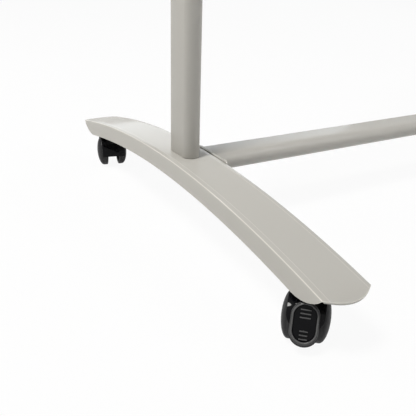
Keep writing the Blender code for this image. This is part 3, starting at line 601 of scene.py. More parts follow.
def foot_section(sizes):
    """Half of the foot's section, from the flat top over the sloped band and down the wall.

    Each point is (x, drop, pale), and pale is the strength of the painted highlight line laid on the
    two bends.
    """
    half, crease, edge = sizes.foot_width / 2, sizes.foot_crease, sizes.foot_edge
    slope = atan2(sizes.foot_band_fall, sizes.foot_band)
    start = half - sizes.foot_band - crease * tan(slope / 2)
    low = sizes.foot_band_fall + edge * tan(pi / 4 - slope / 2)
    points = []
    for i in range(4):
        a = slope * i / 3
        points.append((start + crease * sin(a), crease * (1 - cos(a)), 0.6 if 0 < i < 3 else 0))
    for i in range(6):
        a = slope + (pi / 2 - slope) * i / 5
        points.append((half - edge * (1 - sin(a)), low - edge * cos(a), 1 if 1 < i < 4 else 0))
    first = 1 - sqrt(1 - low / sizes.foot_depth)
    for i in range(1, WALL_ROWS + 1):
        t = first + (1 - first) * i / WALL_ROWS
        points.append((half, sizes.foot_depth * (1 - (1 - t) ** 2), 0))
    return points


def foot_end(sizes, x, drop):
    """How far the foot reaches from its middle at a point of its section."""
    chord = sizes.foot_width / 2
    past = sizes.foot_tip * (1 - (min(x, chord) / chord) ** 2)
    down = max(0, drop - sizes.foot_band_fall) / (sizes.foot_depth - sizes.foot_band_fall)
    return sizes.foot_reach + past - sizes.foot_nose * (1 - sqrt(max(0, 1 - down ** NOSE_CURVE)))


def model_foot(sizes):
    """A pressed foot: a flat sheet folded down at both sides, swept back at its ends, then bowed."""
    section = foot_section(sizes)
    radius = (sizes.foot_reach ** 2 + sizes.foot_fall ** 2) / (2 * sizes.foot_fall)
    flat = section[0][0]

    def run(x, drop):
        """Length before bowing that brings a row to its reach."""
        return radius * asin(foot_end(sizes, x, drop) / (radius - drop))

    columns, rows = FOOT_GRID
    foot = begin(bpy.ops.mesh.primitive_grid_add, "foot_sheet_left", x_subdivisions=columns,
                 y_subdivisions=2 * rows, size=2, location=(0, 0, 0))
    last = 1 - 1 / rows
    choose("VERT", lambda co, n: abs(abs(co.y) - last) < TRACE)
    resize((0, 0, 0), y=(1 - TIP_ROW / sizes.foot_reach) / last)
    choose_all()
    resize((0, 0, 0), flat, sizes.foot_reach)
    for i in range(columns + 1):
        x = flat * (2 * i / columns - 1)
        choose("VERT", lambda co, n: abs(co.x - x) < TIGHT)
        resize((0, 0, 0), y=run(x, 0) / sizes.foot_reach)
    for side in (-1, 1):
        choose("EDGE", lambda co, way: abs(co.x - side * flat) < TIGHT and abs(way.y) > 0.9)
        for (x0, drop0, _), (x1, drop1, _) in zip(section, section[1:]):
            extrude_edges(side * (x1 - x0), 0, drop0 - drop1)
            resize((0, 0, 0), y=run(x1, drop1) / run(x0, drop0))
    face_sheet(up=True)
    to_object_mode()

    bow = Matrix(((0, 0, -1), (1, 0, 0), (0, -1, 0))).to_4x4()
    bpy.ops.object.empty_add(location=(0, 0, 0), rotation=bow.to_euler())
    guide = bpy.context.object
    modify(foot, "SIMPLE_DEFORM", deform_method="BEND", deform_axis="Z", origin=guide,
           angle=2 * run(0, 0) / radius)
    discard(guide)
    thicken(foot, sizes.foot_sheet)
    soften(foot, SHEET_EDGE, 2, radians(50))

    def pale(co):
        """Strength of the painted highlight: 1 on the two bends and along the rim of the sheet's outer
        side.
        """
        x, drop = abs(co.x), radius - hypot(co.y, co.z + radius)
        skin = drop < sizes.foot_band_fall + TRACE or x > sizes.foot_width / 2 - TRACE
        rim = drop > sizes.foot_depth - TRACE or abs(co.y) > foot_end(sizes, x, drop) - TRACE
        bends = (pale for at, depth, pale in section if hypot(x - at, drop - depth) < TRACE / 2)
        return max(1.0 if rim and skin else 0.0, *bends, 0.0)

    # Painted highlight lines on the bends and rims, which stand_paint reads as edge and lightens
    mark(foot, "edge", pale)
    put(foot, Matrix.Translation((-POST_X, 0, FOOT_HIGH.z)))
    return foot


class WHITEBOARD_OT_feet(bpy.types.Operator):
    """Model the two pressed feet"""
    bl_idname = "whiteboard.feet"
    bl_label = "Feet"

    def execute(self, context):
        settle_both(model_foot(context.scene.whiteboard_stand), Matrix.Translation((2 * POST_X, 0, 0)),
                    "stand", "stand_paint", "foot_{}")
        return {"FINISHED"}


HIDDEN_END = 0.001
PLUG_GAP = 0.0003
PLUG_ROUND = 0.0018
PLUG_NECK = 0.0001
PLUG_INSET = 0.002
WELD_WIDTH = 0.0022
WELD_LENGTH = 0.0028
WELD_ROUND = 0.0021
PLATE_CORNER = 0.005


def flat_oval_bar(name, low, high, along, steps=14):
    """A bar between two corners, its four long edges rounded into half circles."""
    bar = begin_box(name, low, high)
    thin = min(abs(high[i] - low[i]) for i in range(3) if i != along)
    round_along(along, thin / 2 - 4 * TIGHT, steps)
    return bar


class WHITEBOARD_OT_posts(bpy.types.Operator):
    """Model the two posts and the plastic caps in their tops"""
    bl_idname = "whiteboard.posts"
    bl_label = "Posts"

    def execute(self, context):
        sizes = context.scene.whiteboard_stand
        low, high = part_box("post_left")
        cap_low, cap_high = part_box("post_cap_left")
        half_x, half_y = sizes.tube_thickness / 2, sizes.tube_width / 2
        across = Matrix.Translation((2 * POST_X, 0, 0))
        post = flat_oval_bar("post_tube_left", (-POST_X - half_x, -half_y, low.z),
                             (-POST_X + half_x, half_y, high.z), 2)
        round_across(2, SHEET_EDGE, 2)
        settle_both(post, across, "stand", "stand_paint", "post_{}")
        plug = flat_oval_bar("post_plug_left", (-POST_X - half_x, -half_y, high.z + PLUG_GAP),
                             (-POST_X + half_x, half_y, cap_high.z), 2)
        round_across(2, PLUG_ROUND, 5, cap_high.z)
        choose("FACE", lambda co, n: n.z < -0.9)
        extrude(z=-PLUG_NECK)
        resize((-POST_X, 0, 0), 1 - PLUG_INSET / half_x, 1 - PLUG_INSET / half_y)
        extrude(z=cap_low.z - high.z)
        settle_both(plug, across, "stand", "black_plastic", "post_cap_{}")
        return {"FINISHED"}


class WHITEBOARD_OT_beam(bpy.types.Operator):
    """Model the beam between the feet, its welded end plates and the weld beads"""
    bl_idname = "whiteboard.beam"
    bl_label = "Cross beam"

    def execute(self, context):
        sizes = context.scene.whiteboard_stand
        low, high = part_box("cross_beam")
        half_y, half_z = sizes.tube_width / 2, sizes.tube_thickness / 2
        beam = flat_oval_bar("cross_beam_tube", (low.x + HIDDEN_END, -half_y, BEAM_Z - half_z),
                             (high.x - HIDDEN_END, half_y, BEAM_Z + half_z), 0)
        settle(beam, "stand", "stand_paint", "cross_beam")
        half_y, half_z = half_y + WELD_WIDTH, half_z + WELD_WIDTH
        for side_name, side in SIDES:
            face = high.x if side > 0 else low.x
            back = face - side * sizes.plate_thickness
            plate = begin_box(f"beam_end_plate_{side_name}", (face, -sizes.plate_width / 2, low.z),
                              (back, sizes.plate_width / 2, high.z))
            round_along(0, PLATE_CORNER, 6)
            soften(plate, 0.0006, 3)
            settle(plate, "stand", "stand_paint")
            outer = back - side * WELD_LENGTH
            bead = flat_oval_bar(f"beam_weld_{side_name}", (back, -half_y, BEAM_Z - half_z),
                                 (outer, half_y, BEAM_Z + half_z), 0)
            round_across(0, WELD_ROUND, 4, outer)
            settle(bead, "stand", "stand_paint")
        return {"FINISHED"}


# Casters, modelled in their own frame: the stem stands on the origin and the hood trails along +X
def caster_place(name):
    side = -1 if name.endswith("left") else 1
    end = -1 if name.startswith("front") else 1
    foot_end = Matrix.Translation((side * POST_X, end * CASTER_Y, 0))
    return foot_end @ Matrix.Rotation(SWIVELS[name], 4, "Z")


DOME_RINGS = 12
HUB_DIMPLE = (0.0004, 0.0005)
RIM_WALL = 0.0045
RIM_DEPTH = 0.003
RIM_DRAFT = 0.985
HUB_WALL = 0.0115
HUB_DRAFT = 0.96
TREAD_ROUND = 0.0011


def model_wheel(sizes):
    """The wheel on the +Y side: tread, domed outer face and recessed inner face."""
    axle = Vector((sizes.trail, 0, sizes.wheel_radius))
    radius, near, far = sizes.wheel_radius, sizes.wheel_face, sizes.wheel_face + sizes.wheel_tread
    middle = axle + Vector((0, (near + far) / 2, 0))
    wheel = begin_round("caster_wheel", radius, far - near, middle, "Y", 72)
    choose("FACE", lambda co, n: n.y > 0.9)
    for i in range(1, DOME_RINGS):
        a, b = pi / 2 * (1 - (i - 1) / DOME_RINGS), pi / 2 * (1 - i / DOME_RINGS)
        extrude(y=sizes.wheel_dome * (cos(b) - cos(a)))
        resize(axle, x=sin(b) / sin(a), z=sin(b) / sin(a))
    inset(HUB_DIMPLE[0])
    extrude(y=-HUB_DIMPLE[1])
    choose("FACE", lambda co, n: n.y < -0.9 and co.y < near + TIGHT)
    inset(RIM_WALL)
    extrude(y=RIM_DEPTH)
    resize(axle, x=RIM_DRAFT, z=RIM_DRAFT)
    choose("FACE", lambda co, n: n.y < -0.9 and abs(co.y - near - RIM_DEPTH) < TIGHT)
    inset(HUB_WALL)
    extrude(y=-RIM_DEPTH)
    resize(axle, x=HUB_DRAFT, z=HUB_DRAFT)
    choose("EDGE", lambda co, way: co.y < near + TIGHT and abs(way.y) < 0.1
           and abs((co - axle).xz.length - radius) < 0.0003)
    round_off(TREAD_ROUND)
    mark(wheel, "worn", lambda co: 0.17 if (co - axle).xz.length > 0.97 * radius else 0.09)
    return wheel


HOOD_STEPS = 96
FENDER_ENDS = (radians(6), radians(187))
BAND_ENDS = (radians(34), radians(131))
BAND_WALL = 0.0022
TAPER_FROM = radians(36)
TAPER = 0.36
BOSS_FOOT = 0.020
AXLE_BOSS = 0.0068
SLOT_LENGTHS = (0.0045, 0.016)
SLOT_HALF = (0.0037, 0.0065)


def angle_about(axle, co):
    return atan2(co.z - axle.z, co.x - axle.x)


def arc_shell(name, axle, radius, width, start, end):
    """Part of a tube about an axle, from one angle to another."""
    shell = begin_round(name, radius, width, axle, "Y", HOOD_STEPS)
    middle = (start + end) / 2

    def inside(co):
        from_middle = (angle_about(axle, co) - middle + pi) % (2 * pi) - pi
        return abs(from_middle) < (end - start) / 2

    choose("FACE", lambda co, n: abs(n.y) > 0.9 or not inside(co))
    bpy.ops.mesh.delete(type="FACE")
    return shell


def model_hood(sizes, braked):
    """The hood: a fender over both wheels with a raised band, the web between, and the stem's boss."""
    axle = Vector((sizes.trail, 0, sizes.wheel_radius))
    outer = sizes.fender_radius
    boss_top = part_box("caster_hood_front_left")[1].z

    # The fender's low end at the back narrows, ring by ring
    fender = arc_shell("caster_hood", axle, outer, 2 * sizes.fender_half, *FENDER_ENDS)
    ring = 2 * pi / HOOD_STEPS
    for i in range(1, int(TAPER_FROM / ring) + 1):
        past = (TAPER_FROM - i * ring) / (TAPER_FROM - FENDER_ENDS[0])
        choose("VERT", lambda co, n: abs(angle_about(axle, co) - i * ring) < 0.4 * ring)
        resize(axle, y=1 - TAPER * past ** 2)
    thicken(fender, sizes.fender_wall)
    soften(fender, 0.0005, 3)

    band = arc_shell("hood_band", axle, outer + sizes.ridge, sizes.ridge_width, *BAND_ENDS)
    thicken(band, BAND_WALL)
    soften(band, 0.0007, 3)

    web = begin_round("hood_web", outer - sizes.fender_wall / 2, sizes.web, axle, "Y", HOOD_STEPS)
    choose_all()
    bpy.ops.mesh.bisect(plane_co=axle, plane_no=(0, 0, 1), use_fill=True, clear_inner=True)
    choose("FACE", lambda co, n: n.z < -0.9)
    extrude(z=-0.0004)
    soften(web, 0.0008, 3)
    foot = begin_round("hood_axle_boss", AXLE_BOSS, sizes.web, axle, "Y", 40)
    round_across(1, 0.0008, 3)
    boss = begin_round("hood_stem_boss", sizes.web / 2 - 0.0002, boss_top - BOSS_FOOT,
                       (0, 0, (boss_top + BOSS_FOOT) / 2), "Z", 48)
    round_across(2, 0.0012, 4, boss_top)
    weld(fender, band, web, foot, boss)
    if braked:
        back, front = SLOT_LENGTHS
        wide, high = SLOT_HALF
        slot = begin_box("pedal_slot", (sizes.pedal_pivot - back, -wide, -high),
                         (sizes.pedal_pivot + front, wide, high))
        put(slot, Matrix.Translation(axle) @ Matrix.Rotation(-sizes.pedal_tilt, 4, "Y"))
        carve(fender, slot)
    return fender


# The rolled rim from its outer edge into the well: steps inward and forward
PEDAL_RIM = ((0.0003, 0.0006), (0.0005, 0.0005), (0.0006, 0.0003), (0.0006, -0.0003), (0.0006, -0.0006),
             (0.0003, -0.0008), (0.0002, -0.0006), (0.0006, 0))
RIM_CREST = 0.0010
RIDGE_GROUPS = ((0.0092, 0.0054), (-0.0118, 0.0043))
RIDGE_RISE = 0.0011
RIDGE_HALF = 0.0009
LUG = (0.0035, 0.0064)


def model_pedal(sizes):
    """The rocker pedal: a flat oval with a rolled rim and a skirt, grip ridges, a lug and its pin."""
    back = sizes.pedal_pivot + sizes.pedal_standoff
    face = back + sizes.pedal_plate
    radius = sizes.pedal_width / 2
    reach = sizes.pedal_length / 2 - radius
    pedal = begin_round("brake_pedal", radius, face - back, ((back + face) / 2, 0, 0), "X", 64)
    for end in (-1, 1):
        choose("VERT", lambda co, n: co.z * end > 0)
        move(z=end * reach)
    choose("VERT", lambda co, n: co.x < back + TIGHT)
    resize((back, 0, 0), y=1.07, z=1.03)
    choose("VERT", lambda co, n: co.x < back + TIGHT and co.z < 0)
    move(z=-sizes.pedal_skirt)
    round_across(0, 0.0007, 3, back)
    choose("FACE", lambda co, n: n.x > 0.95)
    for inward, forward in PEDAL_RIM:
        inset(inward, forward)
    well = face + sum(forward for _, forward in PEDAL_RIM)

    lug = begin_round("pedal_lug", *LUG, (sizes.pedal_pivot, 0, 0), "Y", 32)
    choose("FACE", lambda co, n: n.x > 0.3 and abs(n.y) < 0.1)
    extrude(x=back - sizes.pedal_pivot - 0.002)
    weld(pedal, lug)
    top = well + RIDGE_RISE
    for middle, half in RIDGE_GROUPS:
        ridge = begin_box("pedal_ridge", (well - 0.0005, -half, -RIDGE_HALF), (top, half, RIDGE_HALF))
        round_across(0, 0.0006, 3, top)
        for i in (-1, 0, 1):
            up = Matrix.Translation((0, 0, middle + i * sizes.ridge_pitch))
            weld(pedal, copied(ridge, "pedal_ridge", up))
        discard(ridge)
    crest = face + RIM_CREST
    # The pedal's rim crest and ridge tops: wear, and a painted highlight in place of their glints
    mark(pedal, "worn",
         lambda co: 0.5 if co.x > crest else 0.4 if abs(co.x - top) < TRACE else 0.0)
    put(pedal, Matrix.Translation((sizes.trail, 0, sizes.wheel_radius))
        @ Matrix.Rotation(-sizes.pedal_tilt, 4, "Y"))
    return pedal


class WHITEBOARD_OT_casters(bpy.types.Operator):
    """Model the twin-wheel casters, with brake pedals at the front"""
    bl_idname = "whiteboard.casters"
    bl_label = "Casters"

    def execute(self, context):
        sizes = context.scene.whiteboard_casters
        wheel = model_wheel(sizes)
        other = copied(wheel, "caster_wheel_far", Matrix.Translation((2 * sizes.trail, 0, 0))
                       @ Matrix.Rotation(pi, 4, "Z"))
        hoods = {True: model_hood(sizes, True), False: model_hood(sizes, False)}
        pedal = model_pedal(sizes)
        for name in SWIVELS:
            place = caster_place(name)
            braked = name.startswith("front")
            parts = [(hoods[braked], f"hood_{name}", f"caster_{name}", f"caster_hood_{name}"),
                     (wheel, f"wheel_a_{name}", f"wheel_{name}_a", f"caster_wheel_{name}_a"),
                     (other, f"wheel_b_{name}", f"wheel_{name}_b", f"caster_wheel_{name}_b")]
            if braked:
                parts.append((pedal, f"pedal_{name}", f"pedal_{name}", f"brake_pedal_{name}"))
            for source, piece, body, node in parts:
                settle(copied(source, piece, place), body, "caster_plastic", node)
        discard(wheel, other, *hoods.values(), pedal)
        return {"FINISHED"}


# Board
PANEL_SLOT = 0.0091
SLOT_DEPTH = 0.009
GROOVE = (0.0010, 0.0016)
GROOVE_DEPTH = 0.0006
CORNER_PROUD = 0.001
CORNER_GAP = 0.0003
ROOM = 0.1


def split_at(*places):
    """Cut the piece's faces where y has these values."""
    for y in places:
        choose_all()
        bpy.ops.mesh.bisect(plane_co=(0, y, 0), plane_no=(0, 1, 0))


def model_rail(name, sizes, span):
    """A frame rail along X at the board's top: rounded outside, with a groove and the panel's slot."""
    half, top = sizes.rail / 2, sizes.height / 2
    rail = begin_box(name, (-span / 2, -half, top - sizes.rail), (span / 2, half, top))
    choose("EDGE", lambda co, way: abs(way.x) > 0.9 and co.z > top - TIGHT)
    round_off(sizes.rail_round, 6)
    choose("EDGE", lambda co, way: abs(way.x) > 0.9 and co.z < top - sizes.rail + TIGHT)
    round_off(0.0010, 3)
    split_at(-PANEL_SLOT, PANEL_SLOT)
    choose("FACE", lambda co, n: n.z < -0.9 and abs(co.y) < PANEL_SLOT)
    extrude(z=SLOT_DEPTH)
    bottom, edge = GROOVE
    split_at(-edge, -bottom, bottom, edge)
    choose("EDGE", lambda co, way: abs(way.x) > 0.9 and co.z > top - TIGHT
           and abs(co.y) < bottom + TRACE)
    move(z=-GROOVE_DEPTH)
    return rail


def model_corner(sizes):
    """A corner cap for the top right: rounded outside, stepped inside, all its edges softened."""
    x, z = sizes.width / 2, sizes.height / 2
    half = sizes.rail / 2 + CORNER_PROUD
    cap = begin_box("corner_cap", (x - sizes.corner, -half, z - sizes.corner), (x, half, z))
    choose("EDGE", lambda co, way: abs(way.y) > 0.9 and co.x > x - TIGHT and co.z > z - TIGHT)
    round_off(sizes.corner_round, 14)
    for name, step, wide in (("corner_notch", sizes.rail, half + ROOM),
                             ("corner_slot", sizes.rail - SLOT_DEPTH, PANEL_SLOT)):
        carve(cap, begin_box(name, (x - step - ROOM, -wide, z - step - ROOM),
                             (x - step, wide, z - step)))
    soften(cap, 0.0014, 4)
    return cap


class WHITEBOARD_OT_board(bpy.types.Operator):
    """Model the frame of the board: four rails and four corner caps"""
    bl_idname = "whiteboard.board"
    bl_label = "Board frame"

    def execute(self, context):
        sizes = context.scene.whiteboard_board
        gap = 2 * (sizes.corner + CORNER_GAP)
        middle = Matrix.Translation((0, 0, PIVOT_Z))
        across = model_rail("rail_across", sizes, sizes.width - gap)
        upright = model_rail("rail_upright", sizes, sizes.height - gap)
        put(upright, Matrix.Translation((sizes.width / 2 - sizes.height / 2, 0, 0))
            @ Matrix.Rotation(pi / 2, 4, "Y"))
        cap = model_corner(sizes)
        opposite = copied(cap, "corner_cap_mirror", Matrix.Diagonal((-1, 1, 1, 1)))
        bpy.ops.object.mode_set(mode="EDIT")
        face_outwards()
        rail_kind = "rail_{}", "rail_aluminium", "frame_rail_{}", radians(28)
        cap_kind = "corner_{}", "grey_plastic", "corner_cap_{}", radians(35)
        for source, names, (piece, slot, node, smooth) in (
                (across, ("top", "bottom"), rail_kind),
                (upright, ("right", "left"), rail_kind),
                (cap, ("top_right", "bottom_left"), cap_kind),
                (opposite, ("top_left", "bottom_right"), cap_kind)):
            for name, angle in zip(names, (0, pi)):
                settle(copied(source, piece.format(name), middle @ Matrix.Rotation(angle, 4, "Y")),
                       "board", slot, node.format(name), smooth=smooth)
            discard(source)
        return {"FINISHED"}


# Screws
RECESS_WIDTH = 0.0008
RECESS_FLOOR = 0.35


def model_screw(radius, depth):
    """The pan head of a screw on the YZ plane, facing +X, with a crossed recess."""
    head = begin_round("screw_head", radius, depth, (depth / 2, 0, 0), "X", 32)
    round_across(0, 0.6 * depth, 5, depth)
    for y, z in ((RECESS_WIDTH, radius), (radius, RECESS_WIDTH)):
        carve(head, begin_box("screw_recess", (depth * RECESS_FLOOR, -y / 2, -z / 2),
                              (depth * 2, y / 2, z / 2)))
    return head


def drive_screws(head, name, body, face, way, spots):
    """Copies of a screw's head on a plate that faces along +X or -X."""
    facing = Matrix.Rotation(0 if way > 0 else pi, 4, "Z")
    for number, (y, z) in enumerate(spots, 1):
        screw = copied(head, f"{name}_{number}", Matrix.Translation((face, y, z)) @ facing)
        settle(screw, body, "steel")


# Pivots
def lobed(axis, radius, lobe, lobes=5):
    """In edit mode, draw a round piece's side in between its lobes."""
    def angle(co):
        return round(atan2(co.z - axis.z, co.y - axis.y), 3)

    form = bmesh.from_edit_mesh(bpy.context.object.data)
    for a in sorted({angle(vert.co) for vert in form.verts}):
        choose("VERT", lambda co, n: angle(co) == a)
        factor = 1 - lobe / radius * (1 - cos(lobes * a))
        resize(axis, y=factor, z=factor)


KNOB_BACK = 0.010
KNOB_LOBE = 0.003
KNOB_DISH = ((0.0035, 0.0006), (0.0008, 0.0006))
HUB = (0.0115, 0.0104)
ARM_THICKNESS = 0.004
SHOULDER_RADIUS = 0.010
SHOULDER_GAP = 0.0004
STUD_RADIUS = 0.006
FLANGE = (0.0135, 0.0026)
SLEEVE_RADIUS = 0.0087
BUSH_BORE = 0.0063
ARM_SCREW = (0.0042, 0.0022)
ARM_SCREW_RISE = 0.029


def begin_pivot_rod(name, radius, start, end, steps=48):
    """A round piece on the pivot axis between two places on X."""
    return begin_round(name, radius, end - start, ((start + end) / 2, 0, PIVOT_Z), "X", steps)


def model_knob(sizes):
    """A lobed clamping knob for the right side, with a dished face and a hub."""
    low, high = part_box("lock_knob_right")
    grip = low.x + KNOB_BACK
    knob = begin_pivot_rod("knob_right", sizes.knob_radius, grip, high.x, 80)
    lobed(Vector((0, 0, PIVOT_Z)), sizes.knob_radius, KNOB_LOBE)
    round_across(0, 0.0035, 6, high.x)
    round_across(0, 0.0015, 3, grip)
    choose("FACE", lambda co, n: n.x > 0.95)
    for inward, down in KNOB_DISH:
        inset(inward)
        move(x=-down)
    radius, depth = HUB
    hub = begin_pivot_rod("knob_hub", radius, low.x, low.x + depth)
    round_across(0, 0.0012, 3, low.x)
    weld(knob, hub)
    return knob


def model_arm():
    """The board's pivot plate for the right side, with its shoulder and its stud."""
    low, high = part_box("pivot_plate_right")
    face, bush = low.x + ARM_THICKNESS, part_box("pivot_bush_right")[0].x
    plate = begin_box("pivot_arm_right", low, (face, high.y, high.z))
    round_along(0, 0.004, 6)
    soften(plate, 0.0005)
    shoulder_end = bush - SHOULDER_GAP
    shoulder = begin_pivot_rod("pivot_shoulder", SHOULDER_RADIUS, face - SHOULDER_GAP, shoulder_end)
    round_across(0, 0.0006, 3, shoulder_end)
    stud = begin_pivot_rod("pivot_stud", STUD_RADIUS, face, high.x, 40)
    weld(plate, shoulder, stud)
    return plate, face


def model_bush():
    """The flanged bush in the right post's head."""
    low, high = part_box("pivot_bush_right")
    radius, thickness = FLANGE
    flange = begin_pivot_rod("bush_right", radius, low.x, low.x + thickness, 56)
    round_across(0, 0.0007, 3)
    weld(flange, begin_pivot_rod("bush_sleeve", SLEEVE_RADIUS, low.x, high.x))
    carve(flange, begin_pivot_rod("bush_hole", BUSH_BORE, low.x - ROOM, high.x + ROOM))
    return flange


class WHITEBOARD_OT_pivots(bpy.types.Operator):
    """Model the pivot plates, bushes and clamping knobs at both sides of the board"""
    bl_idname = "whiteboard.pivots"
    bl_label = "Pivots"

    def execute(self, context):
        knob = model_knob(context.scene.whiteboard_board)
        arm, arm_face = model_arm()
        bush = model_bush()
        head = model_screw(*ARM_SCREW)
        spots = [(0, PIVOT_Z + up) for up in (-ARM_SCREW_RISE, ARM_SCREW_RISE)]
        for side_name, side in SIDES:
            drive_screws(head, f"pivot_screw_{side_name}", "board", side * arm_face, side, spots)
        discard(head)
        half_turn = Matrix.Rotation(pi, 4, "Z")
        settle_both(knob, half_turn, "knob_{}", "black_plastic", "lock_knob_{}")
        settle_both(arm, half_turn, "board", "steel", "pivot_plate_{}")
        settle_both(bush, half_turn, "stand", "nylon", "pivot_bush_{}")
        return {"FINISHED"}


# Pen tray
LIP_FOLDS = (0.0052, 0.0030)
TRAY_SHEET = 0.0012
TRAY_END = 0.002
TRAY_END_HALF = 0.0265
TRAY_SCREW = (0.0036, 0.0020)
TRAY_SCREW_SPREAD = 0.016


class WHITEBOARD_OT_tray(bpy.types.Operator):
    """Model the folded pen tray, its end plates and their screws"""
    bl_idname = "whiteboard.tray"
    bl_label = "Pen tray"

    def execute(self, context):
        sizes = context.scene.whiteboard_board
        low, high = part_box("pen_tray")
        floor = high.z - sizes.tray_lip
        half, is_edge = sizes.tray_depth / 2, lambda way: abs(way.x) > 0.9
        tray = begin_box("tray_sheet", (low.x + HIDDEN_END, -half, floor),
                         (high.x - HIDDEN_END, half, high.z))
        choose("FACE", lambda co, n: n.z > 0.9 or abs(n.x) > 0.9)
        bpy.ops.mesh.delete(type="FACE")
        for side in (-1, 1):
            choose("EDGE", lambda co, way: is_edge(way) and co.z > high.z - TIGHT and co.y * side > 0)
            extrude_edges(y=-side * LIP_FOLDS[0])
            extrude_edges(z=-LIP_FOLDS[1])
        choose("EDGE", lambda co, way: is_edge(way) and (co.z < floor + TIGHT or co.z > high.z - TIGHT))
        round_off(0.0016)
        face_sheet(False, lambda co: co.z < floor + TRACE)
        thicken(tray, TRAY_SHEET)
        soften(tray, 0.0003)
        settle(tray, "stand", "stand_paint", "pen_tray")
        head = model_screw(*TRAY_SCREW)
        spots = [(y, (low.z + floor) / 2) for y in (-TRAY_SCREW_SPREAD, TRAY_SCREW_SPREAD)]
        for side_name, side in SIDES:
            end = high.x if side > 0 else low.x
            inner = end - side * TRAY_END
            plate = begin_box(f"tray_end_{side_name}", (end, -TRAY_END_HALF, low.z),
                              (inner, TRAY_END_HALF, high.z))
            round_along(0, 0.004, 6)
            soften(plate, 0.0005)
            settle(plate, "stand", "stand_paint")
            drive_screws(head, f"tray_screw_{side_name}", "stand", inner, -side, spots)
        discard(head)
        return {"FINISHED"}


# Stage
CAMERA_PLACE = (-0.95813, -0.61837, 0.34810)
CAMERA_TURN = (0.57066, 0.43722, 0.04463)
CAMERA_SHIFT = (-0.04383, 0.01242)
FLOOR_DROP = 0.0003


def camera_turn():
    """The camera's turn from its yaw, its pitch down and its roll."""
    yaw, pitch, roll = CAMERA_TURN
    forward = Vector((sin(yaw) * cos(pitch), cos(yaw) * cos(pitch), -sin(pitch)))
    right = forward.cross(Vector((0, 0, 1))).normalized()
    up = right.cross(forward)
    across = right * cos(roll) + up * sin(roll)
    over = up * cos(roll) - right * sin(roll)
    return Matrix((across, over, -forward)).transposed().to_euler()


class WHITEBOARD_OT_stage(bpy.types.Operator):
    """Lay the floor and set the lights, the world and the camera"""
    bl_idname = "whiteboard.stage"
    bl_label = "Stage"

    def execute(self, context):
        scene = context.scene
        settings = scene.whiteboard_stage
        scene.view_settings.view_transform = "Standard"

        to_object_mode()
        bpy.ops.object.camera_add(location=CAMERA_PLACE, rotation=camera_turn())
        camera = context.object
        camera.data.sensor_width = 36
        camera.data.lens = settings.lens * 1000
        camera.data.shift_x, camera.data.shift_y = CAMERA_SHIFT
        camera.data.clip_start = 0.01
        scene.camera = camera

        bpy.ops.mesh.primitive_plane_add(size=40, location=(0, 0, -FLOOR_DROP))
        floor = context.object
        floor.name = "floor"
        finish = Finish("floor", {"Roughness": 0.8})
        tone = tuple(settings.floor)
        finish.set("Base Color", finish.blend(finish.noise(3, 2), tinted(tone, 0.995), tone))
        white = finish.node("ShaderNodeEmission", None, {"Color": (1, 1, 1, 1), "Strength": 1.0})
        output = finish.tree.nodes["Material Output"]
        lit = Signal(finish, finish.shader.outputs[0])
        mixed = finish.node("ShaderNodeMixShader", None,
                            {0: finish.seen() * 0.93, 1: lit, 2: white})
        finish.feed(output.inputs["Surface"], mixed)
        floor.data.materials.append(finish.material)

        world = bpy.data.worlds.new("studio")
        scene.world = world
        world.use_nodes = True
        sky = Nodes(world.node_tree)
        even = sky.node("ShaderNodeBackground", None,
                        {"Color": (0.97, 0.985, 1.0, 1), "Strength": settings.daylight})
        paper = sky.node("ShaderNodeBackground", None, {"Color": (1, 1, 1, 1), "Strength": 1.0})
        sky.feed(sky.tree.nodes["World Output"].inputs["Surface"],
                 sky.node("ShaderNodeMixShader", None, {0: sky.seen(), 1: even, 2: paper}))

        for name, place, aim, size, spread, power, tone in LAMPS:
            bpy.ops.object.light_add(type="AREA", location=place)
            lamp = context.object
            lamp.name = name
            lamp.data.shape = "RECTANGLE" if name == "window_lamp" else "ELLIPSE"
            lamp.visible_glossy = name not in MATT_LAMPS
            lamp.data.spread = radians(spread)
            lamp.data.size, lamp.data.size_y = size
            lamp.data.energy = power
            lamp.data.color = tone
            lamp.visible_camera = False
            lamp.rotation_euler = (Vector(aim) - Vector(place)).to_track_quat("-Z", "Y").to_euler()
        return {"FINISHED"}


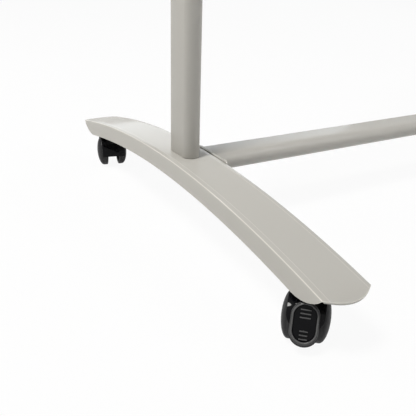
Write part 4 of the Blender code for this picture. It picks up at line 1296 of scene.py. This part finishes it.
# Lamps that light the sides and the writing faces without a glint of their own
MATT_LAMPS = ("right_lamp", "front_lamp", "back_lamp")
LAMPS = (
    ("key_lamp", (-2.4, -0.45, 3.4), (-0.3, 0, 0.4), (1.0, 1.0), 180, 121, (1.0, 0.985, 0.96)),
    ("fill_lamp", (1.7, -1.5, 2.6), (0, 0, 0.5), (1.2, 1.2), 180, 14, (0.96, 0.98, 1.0)),
    ("window_lamp", (1.9, 5.2, 1.15), (-0.4, 0, 0.9), (4.4, 1.9), 180, 40, (0.90, 0.95, 1.0)),
    ("strip_lamp", (-2.2, 1.6, 0.9), (-0.6, 0, 0.1), (0.15, 1.3), 180, 10, (1.0, 0.98, 0.95)),
    ("right_lamp", (3.6, 0.9, 1.5), (0.6, 0, 0.8), (1.3, 1.6), 180, 36, (0.97, 0.985, 1.0)),
    ("front_lamp", (2.4, -3.0, 2.4), (0, 0, 1.45), (1.0, 0.8), 42, 6, (1.0, 0.99, 0.98)),
    ("back_lamp", (-2.4, 3.0, 2.4), (0, 0, 1.45), (1.0, 0.8), 42, 6, (1.0, 0.99, 0.98)),
)

# What the panel shows and main() runs, in this order: title, settings, their class, operators
GROUPS = (
    ("Finishes", "whiteboard_finishes", Finishes, ("finishes",)),
    ("Stand", "whiteboard_stand", StandSizes, ("feet", "posts", "beam")),
    ("Casters", "whiteboard_casters", CasterSizes, ("casters",)),
    ("Board", "whiteboard_board", BoardSizes, ("board", "pivots", "tray")),
    ("Stage", "whiteboard_stage", StageSettings, ("stage",)),
)


class WHITEBOARD_PT_pieces(bpy.types.Panel):
    """Sizes, colours and pieces of the whiteboard"""
    bl_idname = "WHITEBOARD_PT_pieces"
    bl_label = "Mobile Whiteboard"
    bl_space_type = "VIEW_3D"
    bl_region_type = "UI"
    bl_category = "Whiteboard"

    def draw(self, context):
        for title, group, _, steps in GROUPS:
            box = self.layout.box()
            box.label(text=title)
            settings = getattr(context.scene, group)
            for name in settings.__annotations__:
                box.prop(settings, name)
            for step in steps:
                box.operator(f"whiteboard.{step}")


CLASSES = (StandSizes, CasterSizes, BoardSizes, Finishes, StageSettings, WHITEBOARD_OT_finishes,
           WHITEBOARD_OT_feet, WHITEBOARD_OT_posts, WHITEBOARD_OT_beam, WHITEBOARD_OT_casters,
           WHITEBOARD_OT_board, WHITEBOARD_OT_pivots, WHITEBOARD_OT_tray, WHITEBOARD_OT_stage,
           WHITEBOARD_PT_pieces)


def register():
    for kind in CLASSES:
        bpy.utils.register_class(kind)
    for _, group, kind, _ in GROUPS:
        setattr(bpy.types.Scene, group, PointerProperty(type=kind))


def unregister():
    for _, group, _, _ in GROUPS:
        delattr(bpy.types.Scene, group)
    for kind in reversed(CLASSES):
        bpy.utils.unregister_class(kind)


def main():
    register()
    for *_, steps in GROUPS:
        for step in steps:
            getattr(bpy.ops.whiteboard, step)()


if __name__ == "__main__":
    main()
